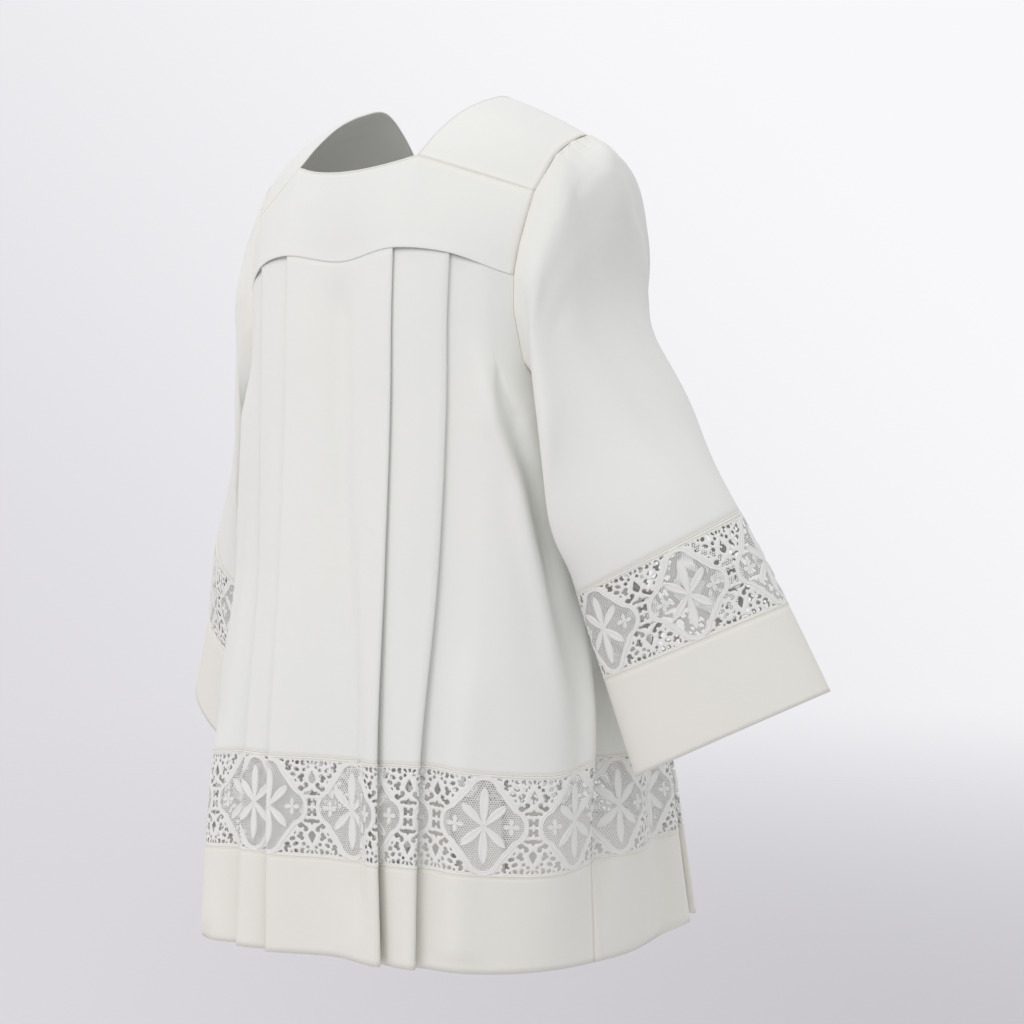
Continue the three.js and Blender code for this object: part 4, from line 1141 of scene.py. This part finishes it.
# Gathers of the cap: (share, ring it reaches, height, half width as a share)
GATHERS = (
    (-0.056, 0.9, 2.2, 0.0042), (-0.038, 1.1, 2.8, 0.0044), (-0.019, 1.3, 3.4, 0.0046),
    (0.0, 1.3, 3.8, 0.0048), (0.019, 1.1, 3.4, 0.0044), (0.037, 1.3, 3.2, 0.0046),
    (0.056, 1.0, 2.6, 0.0044), (0.076, 0.9, 2.0, 0.0044),
)
GATHER = {"dip": 0.35, "dip_width": 3, "start": 0.12, "grow": 0.6}


def gather_lift(signed, rings):
    """The gathers of the cap, each a ridge with a shallow dip at both sides."""
    lift = np.zeros((len(rings), len(signed)))
    for share, reach, height, half in GATHERS:
        fade = smoothstep(rings / GATHER["start"]) * (1 - smoothstep(rings / reach))
        spread = half * (1 + GATHER["grow"] * rings)
        away = ((signed[None, :] - share) / spread[:, None]) ** 2
        dip = GATHER["dip"] * np.exp(-away / GATHER["dip_width"] ** 2)
        lift += height * fade[:, None] * (np.exp(-away) - dip)
    return lift


# Columns round a sleeve, closer together over the gathered cap
CAP_SHARE = 0.1
CAP_COLUMNS, OTHER_COLUMNS = 44, 96
SLEEVE_SHARES = np.concatenate([np.linspace(*span, endpoint=False) for span in (
    (0, CAP_SHARE, CAP_COLUMNS), (CAP_SHARE, 1 - CAP_SHARE, OTHER_COLUMNS), (1 - CAP_SHARE, 1, CAP_COLUMNS),
)])
# Rows of a sleeve: from ring to ring, with the step between two rows
SLEEVE_ROWS = (
    (0, 1.2, 0.05), (1.2, 2, 0.08), (2, LACE_RING, 0.09), (LACE_RING, LACE_END_RING, 0.08),
    (LACE_END_RING, CUFF_RING, 0.08),
)
# Folds of a sleeve: paths as (width from the top edge, 100 for each ring)
SLEEVE_DRAPES = {
    "right": (
        drape(9, 8, (2, 20), (12, 70), (16, 112), (6, 180), (-22, 240), grow=0.9, start=0.3, stop=0.4),
        drape(-7, 11, (34, 30), (44, 80), (46, 130), (34, 220), (22, 300), grow=0.5, start=0.3, stop=0.4),
        drape(4, 16, (120, 30), (128, 140), (150, 260), (176, 380), grow=0.6),
        drape(4.5, 14, (-70, 40), (-82, 160), (-112, 300), grow=0.7),
        drape(9, 26, (-28, 180), (-31, 260), (-30, 345), start=0.45, stop=0.45),
        drape(4, 22, (86, 240), (80, 380), (76, 500)),
    ),
    "left": (
        drape(6, 9, (-4, 8), (-12, 70), (-16, 130), (-6, 200), (18, 250), grow=0.7, start=0.1, stop=0.4),
        drape(-4, 15, (52, 40), (60, 130), (52, 250)),
        drape(4, 16, (112, 30), (130, 160), (158, 300), grow=0.6),
        drape(4.5, 14, (-62, 40), (-80, 170), (-108, 320), grow=0.7),
    ),
}
TUCK = {"past_offset": 1.5, "down": 0.9, "ring": -0.02}


class Sleeve:
    """A sleeve's points for each (ring, share), with outward normals."""

    def __init__(self, side):
        hand = SIDES[side]
        self.shares = SLEEVE_SHARES
        self.rings = np.array([0.0] + [ring for span in SLEEVE_ROWS for ring in rows_between(*span)[1:]])
        keys = np.array([on_armhole(hand, self.shares)]
                        + [on_oval(hand, k, self.shares) for k in range(len(SLEEVES[hand]))])
        rows = []
        for ring in self.rings:
            i = min(int(ring), CUFF_RING - 1)
            t = ring - i
            a, b, c, d = (keys[min(max(i + k, 0), CUFF_RING)] for k in (-1, 0, 1, 2))
            rows.append(through(a, b, c, d, t))
        points = np.array(rows)
        normals = self.outward(points)
        signed = np.where(self.shares > 0.5, self.shares - 1, self.shares)
        lift = gather_lift(signed, self.rings)
        x, y = np.meshgrid(signed * SLEEVE_GIRTH, self.rings * LACE_REPEAT)
        for line in SLEEVE_DRAPES[side]:
            lift += line_lift(line, x, y)
        self.points = points + normals * lift[..., None]
        self.normals = self.outward(self.points)
        past = sleeve_offset(self.shares) + TUCK["past_offset"]
        inwards = unit((self.points[0].mean(axis=0) - self.points[0]) * (0, 1, 1))
        self.tuck = self.points[0] + inwards * TUCK["down"]
        self.tuck[:, 0] -= hand * past

    def outward(self, points):
        normals = grid_normals(points, wrap=True)
        middle = points.mean(axis=1, keepdims=True)
        if np.sum(normals * (points - middle)) < 0:
            normals = -normals
        return normals

    def at(self, widths, rings, offset):
        points = np.concatenate((self.points, self.points[:, :1]), axis=1)
        normals = np.concatenate((self.normals, self.normals[:, :1]), axis=1)
        columns = np.append(self.shares, 1.0) * SLEEVE_GIRTH
        return grid_sample(points, normals, columns, self.rings, widths, rings, offset)

    def rows(self, first, last):
        chosen = (self.rings >= first - TINY) & (self.rings <= last + TINY)
        return self.points[chosen], self.rings[chosen]


SLEEVE_SHEETS = {side: Sleeve(side) for side in SIDES}


def away_from(points, row):
    return np.linalg.norm(points - points[row], axis=-1)


def sleeve_cloth(side, hand):
    sheet = SLEEVE_SHEETS[side]
    pieces = {}
    across = sheet.shares * SLEEVE_GIRTH
    points, rings = sheet.rows(0, LACE_RING)
    points = np.concatenate((sheet.tuck[None], points))
    rings = np.append(TUCK["ring"], rings)
    tone = np.maximum(edge_tone(away_from(points, 1)), edge_tone(away_from(points, -1), OVER_LACE_TONE))
    pieces[f"sleeve_{side}"] = cloth_piece(f"sleeve_{side}", "ivory_cloth", points, across,
                                           -rings * LACE_REPEAT, tone, True, hand > 0)
    points, rings = sheet.rows(LACE_END_RING, CUFF_RING)
    tone = edge_tone(away_from(points, 0), UNDER_LACE_TONE)
    pieces[f"cuff_{side}"] = cloth_piece(f"cuff_{side}", "hem_cloth", points, across,
                                         -rings * LACE_REPEAT, tone, True, hand > 0)

    def place(width, fall, height):
        return sheet.at(width, lerp(LACE_RING, LACE_END_RING, fall / LACE_REPEAT), height)

    for half, start in (("back", 0), ("front", SLEEVE_GIRTH / 2)):
        node = f"sleeve_lace_{side}_{half}"
        flat = lace_strip(start, start + SLEEVE_GIRTH / 2, LACE_PHASE["sleeve"], ())
        pieces[node] = lace_work(node, flat, place)
    xs = np.append(sheet.shares, 1.0)[::2] * SLEEVE_GIRTH
    pieces[f"trim_{side}"] = trim_piece(f"sleeve_lace_{side}", xs, place)
    return pieces


SLEEVE_PIECES = {side: sleeve_cloth(side, hand) for side, hand in SIDES.items()}


# Yokes
def refine(points, count):
    """Rows made finer by smooth curves through them."""
    rows = len(points)
    made = []
    for place in np.linspace(0, rows - 1, count):
        i = min(int(place), rows - 2)
        t = place - i
        a = points[i - 1] if i > 0 else 2 * points[0] - points[1]
        b, c = points[i], points[i + 1]
        d = points[i + 2] if i + 2 < rows else 2 * points[-1] - points[-2]
        made.append(through(a, b, c, d, t))
    return np.array(made)


YOKE_COLUMNS = {"neck": 20, "shoulder": 26}
EDGE_SAMPLES = 400
LIFT = 3.5
SIDEWAYS = 0.2


def yoke_edge(face, hand, corner_x):
    level = YOKE_SEAM + HALF_GAP
    outline = quarter(face, hand, level)
    end, shift = quarter_end(outline, face, hand, level)
    fine = np.linspace(0, end, EDGE_SAMPLES)
    at = on_quarter(outline, face, hand, fine, 0)
    corner = fine[int(np.argmax(np.abs(at[:, 0]) >= corner_x))]
    lengths = np.concatenate((np.linspace(0, corner, YOKE_COLUMNS["neck"] + 1),
                              np.linspace(corner, end, YOKE_COLUMNS["shoulder"] + 1)[1:]))
    return laid(outline, face, hand, end, shift, lengths, 0)


def bulged(low, high, share):
    point = lerp(low, high, share)
    out = unit(np.array((point[0] * SIDEWAYS, point[1], 0)))
    return point + out * LIFT * swell(share)


def yoke_columns(face, hand, rows, neck_corner, neck_centre, shoulder_rows):
    """Columns of half a yoke, from the seam up to the neck, and over the shoulder where rows are given."""
    corner = YOKE_COLUMNS["neck"]
    lows = yoke_edge(face, hand, neck_corner[0])
    neck = outwards(neck_corner, hand)
    arm_end = outwards(ARMHOLE[rows[-1]], hand)
    columns = []
    for j, low in enumerate(lows):
        if j <= corner:
            across = low[0] / lows[corner][0]
            high = np.array((neck[0] * across, lerp(neck_centre[1], neck[1], across ** 2),
                             lerp(neck_centre[2], neck[2], across ** 2)))
        else:
            across = (j - corner) / (len(lows) - 1 - corner)
            high = lerp(neck, arm_end, across)
        if j < len(lows) - 1:
            column = [bulged(low, high, i / (len(rows) - 1)) for i in range(len(rows))]
        else:
            column = [outwards(ARMHOLE[name], hand) for name in rows]
            column[0][2] = low[2]
        shoulder = across if j > corner else 0.0
        for name, at, lift in shoulder_rows:
            point = lerp(outwards(at, hand), outwards(ARMHOLE[name], hand), shoulder)
            out = unit((point - BODY_AXIS) * (0, 1, 1))
            column.append(point + out * lift * swell(shoulder))
        columns.append(column)
    return np.array(columns)


BACK_ROWS, FRONT_ROWS = 20, (16, 60)
FRONT_SEAM_ROW = FRONT_ROWS[0]
YOKE_OVERLAP = 1.3
YOKE_RAISE = 0.55
RAISED_ROWS = 3


def yoke(face, rows, neck_corner, neck_centre, shoulder_rows, fine_rows):
    """The points of a yoke, and which of its cells are cloth: the opening of the neck is left out."""
    left = yoke_columns(face, 1, rows, neck_corner, neck_centre, shoulder_rows)[::-1]
    right = yoke_columns(face, -1, rows, neck_corner, neck_centre, shoulder_rows)[1:]
    grid = np.concatenate((left, right), axis=0).transpose(1, 0, 2)
    seam_rows = len(rows)
    lower = refine(grid[:seam_rows], fine_rows[0])
    out = unit(lower[0] * (SIDEWAYS, 1, 0))
    tuck = lower[0] + out * YOKE_RAISE - np.array((0, 0, YOKE_OVERLAP))
    fall = np.linspace(1, 0, RAISED_ROWS + 1)[:-1] ** 2
    lower[:RAISED_ROWS] += out * (YOKE_RAISE * fall)[:, None, None]
    points = np.concatenate((tuck[None], lower))
    corner = YOKE_COLUMNS["neck"]
    middle = corner + YOKE_COLUMNS["shoulder"]
    columns = grid.shape[1]
    keep = np.ones((len(points) - 1, columns - 1), bool)
    if len(grid) > seam_rows:
        upper = refine(grid[seam_rows - 1:], fine_rows[1])[1:]
        points = np.concatenate((points, upper))
        open_rows = np.ones((len(upper), columns - 1), bool)
        open_rows[:, middle - corner:middle + corner] = False
        keep = np.vstack((keep, open_rows))
    return points, keep


def neck_tone(points, edges):
    """Cream along the given edges, where the turning shows through."""
    tone = np.zeros(points.shape[:2])
    for edge, reach in edges:
        apart = np.min(np.linalg.norm(points[:, :, None, :] - edge[None, None], axis=-1), axis=2)
        tone = np.maximum(tone, edge_tone(apart, reach))
    return tone


def make_yokes():
    yokes = {
        "back": yoke("back", ("backYokeSeam", "back6", "back5", "shoulderSeam"), NECK_SIDE[-1][1],
                     BACK_NECK_CENTRE, (), (BACK_ROWS,)),
        "front": yoke("front", ("frontYokeSeam", "front18", "front19", "frontNeck"), NECK_SIDE[0][1],
                      FRONT_NECK_CENTRE, NECK_SIDE[1:], FRONT_ROWS),
    }
    pieces = {"neck_binding": neck_binding(yokes["back"][0], yokes["front"][0])}
    for face, (points, keep) in yokes.items():
        centre = points.shape[1] // 2
        low, high = centre - YOKE_COLUMNS["neck"], centre + YOKE_COLUMNS["neck"]
        edges = [(edge, EDGE_TONE) for edge in (points[:, 0], points[:, -1], points[-1, :low + 1],
                                                points[-1, high:])]
        if face == "back":
            edges.append((points[-1, low:high + 1], NECK_TONE))
        pieces[f"{face}_yoke"] = cloth_piece(
            f"{face}_yoke", "ivory_cloth", points, run_along(points[0]), run_along(points[:, 0]),
            neck_tone(points, edges), flip=face == "front", keep=keep,
        )
    return pieces


BINDING = {"radius": 0.95, "sides": 8, "side": 0.75, "tone": 0.5}


def neck_binding(back_points, front_points):
    """The rolled edge of the neckline, all round the opening."""
    middle = back_points.shape[1] // 2
    corner = YOKE_COLUMNS["neck"]
    low, high = middle - corner, middle + corner
    path = np.concatenate((
        back_points[-1, low:high + 1],
        front_points[FRONT_SEAM_ROW:-1, high][::-1],
        front_points[FRONT_SEAM_ROW, low + 1:high][::-1],
        front_points[FRONT_SEAM_ROW:-1, low],
    ))
    ahead = unit(np.roll(path, -1, axis=0) - np.roll(path, 1, axis=0))
    inwards = unit(path.mean(axis=0) - path)
    side = unit(np.cross(ahead, inwards))
    over = np.cross(side, ahead)
    rows = []
    for turn in np.linspace(0, 2 * np.pi, BINDING["sides"], endpoint=False):
        rows.append(path + BINDING["radius"] * (side * math.cos(turn) + over * math.sin(turn)))
    points = np.array(rows).transpose(1, 0, 2)
    count, sides = points.shape[:2]
    faces = grid_faces(count, sides, close_rows=True, close_columns=True)
    x, y = np.meshgrid(np.arange(sides) * BINDING["side"], run_along(path))
    uv = np.stack((y, x), axis=-1).reshape(-1, 2)
    tone = np.full(count * sides, BINDING["tone"])
    return make_piece("neck_binding", "ivory_cloth", points.reshape(-1, 3), faces, uv, tone)


YOKE_PIECES = make_yokes()


def state_sheets():
    pieces = dict(YOKE_PIECES)
    for group in (*BODY_PIECES.values(), *SLEEVE_PIECES.values()):
        pieces.update(group)


state_sheets()


# Light, floor and background
KEY = {
    "at": (0.4, 3.2, 2.0), "towards": (0, 0, -0.45), "size": 2.1, "watts": 37, "colour": (1.0, 0.985, 0.955),
}
# The floor is painted darker towards the right. This is painted shade standing in for light that falls off on
# that side, not a colour of the floor itself.
FLOOR = {
    "level": -1.75, "radius": 13, "fade_from": 1.8, "painted_shade_reach": 1.4, "sides": 64, "roughness": 0.9,
    "left": srgb(227, 224, 226), "right": srgb(203, 201, 204),
}
# The backdrop runs from lilac grey at the lower left to near white at the upper right
BACKDROP = {
    "dark": srgb(221, 219, 223), "light": srgb(248, 248, 251), "reach": 0.24,
    "sideways": 0.7, "upwards": 0.71,
}
SHADE_SIDE = {"from": 0.3, "brightness": 0.8}
RIGHTWARDS = (math.cos(math.radians(CAMERA["azimuth"])), math.sin(math.radians(CAMERA["azimuth"])), 0)


def make_key():
    data = bpy.data.lights.new("key", "AREA")
    data.shape = "RECTANGLE"
    data.size = data.size_y = KEY["size"]
    data.energy = KEY["watts"]
    data.color = KEY["colour"]
    light = bpy.data.objects.new("key", data)
    light.location = KEY["at"]
    aim = Vector(KEY["towards"]) - Vector(KEY["at"])
    light.rotation_euler = aim.to_track_quat("-Z", "Y").to_euler()
    bpy.context.scene.collection.objects.link(light)


def make_floor():
    nodes = Nodes(bpy.data.materials.new("floor"))
    shader = nodes.tree.nodes["Principled BSDF"]
    where = (nodes.node("TexCoord"), "Object")
    # Painted shade: the floor's colour darkens from the left colour to the right one across the view.
    across = nodes.towards(where, RIGHTWARDS)
    side = nodes.spread(across, reach=(-FLOOR["painted_shade_reach"], FLOOR["painted_shade_reach"]))
    nodes.fill(shader, {
        "Roughness": FLOOR["roughness"], "Base Color": nodes.mix(side, FLOOR["left"], FLOOR["right"]),
    })
    away = (nodes.node("VectorMath", {0: where}, operation="LENGTH"), "Value")
    fade = nodes.spread(away, reach=(FLOOR["fade_from"], FLOOR["radius"]))
    clear = nodes.node("BsdfTransparent")
    mixed = nodes.node("MixShader", {0: fade, 1: (shader, 0), 2: (clear, 0)})
    nodes.fill(nodes.tree.nodes["Material Output"], {"Surface": (mixed, 0)})
    turns = np.linspace(0, 2 * np.pi, FLOOR["sides"], endpoint=False)
    rim = [(FLOOR["radius"] * math.cos(a), FLOOR["radius"] * math.sin(a), 0) for a in turns]
    mesh = bpy.data.meshes.new("floor")
    mesh.from_pydata(rim, [], [list(range(FLOOR["sides"]))])
    mesh.materials.append(nodes.owner)
    floor = bpy.data.objects.new("floor", mesh)
    floor.location = (0, 0, FLOOR["level"])
    bpy.context.scene.collection.objects.link(floor)


def make_world():
    nodes = Nodes(bpy.data.worlds.new("studio"))
    where = (nodes.node("TexCoord"), "Generated")
    slant = Vector(RIGHTWARDS) * BACKDROP["sideways"] + Vector((0, 0, BACKDROP["upwards"]))
    ramp = nodes.spread(nodes.towards(where, slant), reach=(-BACKDROP["reach"], BACKDROP["reach"]))
    across = nodes.towards(where, RIGHTWARDS)
    nodes.fill(nodes.tree.nodes["Background"], {
        "Color": nodes.mix(ramp, BACKDROP["dark"], BACKDROP["light"]),
        "Strength": nodes.spread(across, to=(1, SHADE_SIDE["brightness"]), reach=(SHADE_SIDE["from"], 1)),
    })
    bpy.context.scene.world = nodes.owner
    bpy.context.scene.view_settings.view_transform = "Standard"
    bpy.context.scene.view_settings.look = "None"


make_floor()
make_world()
make_key()
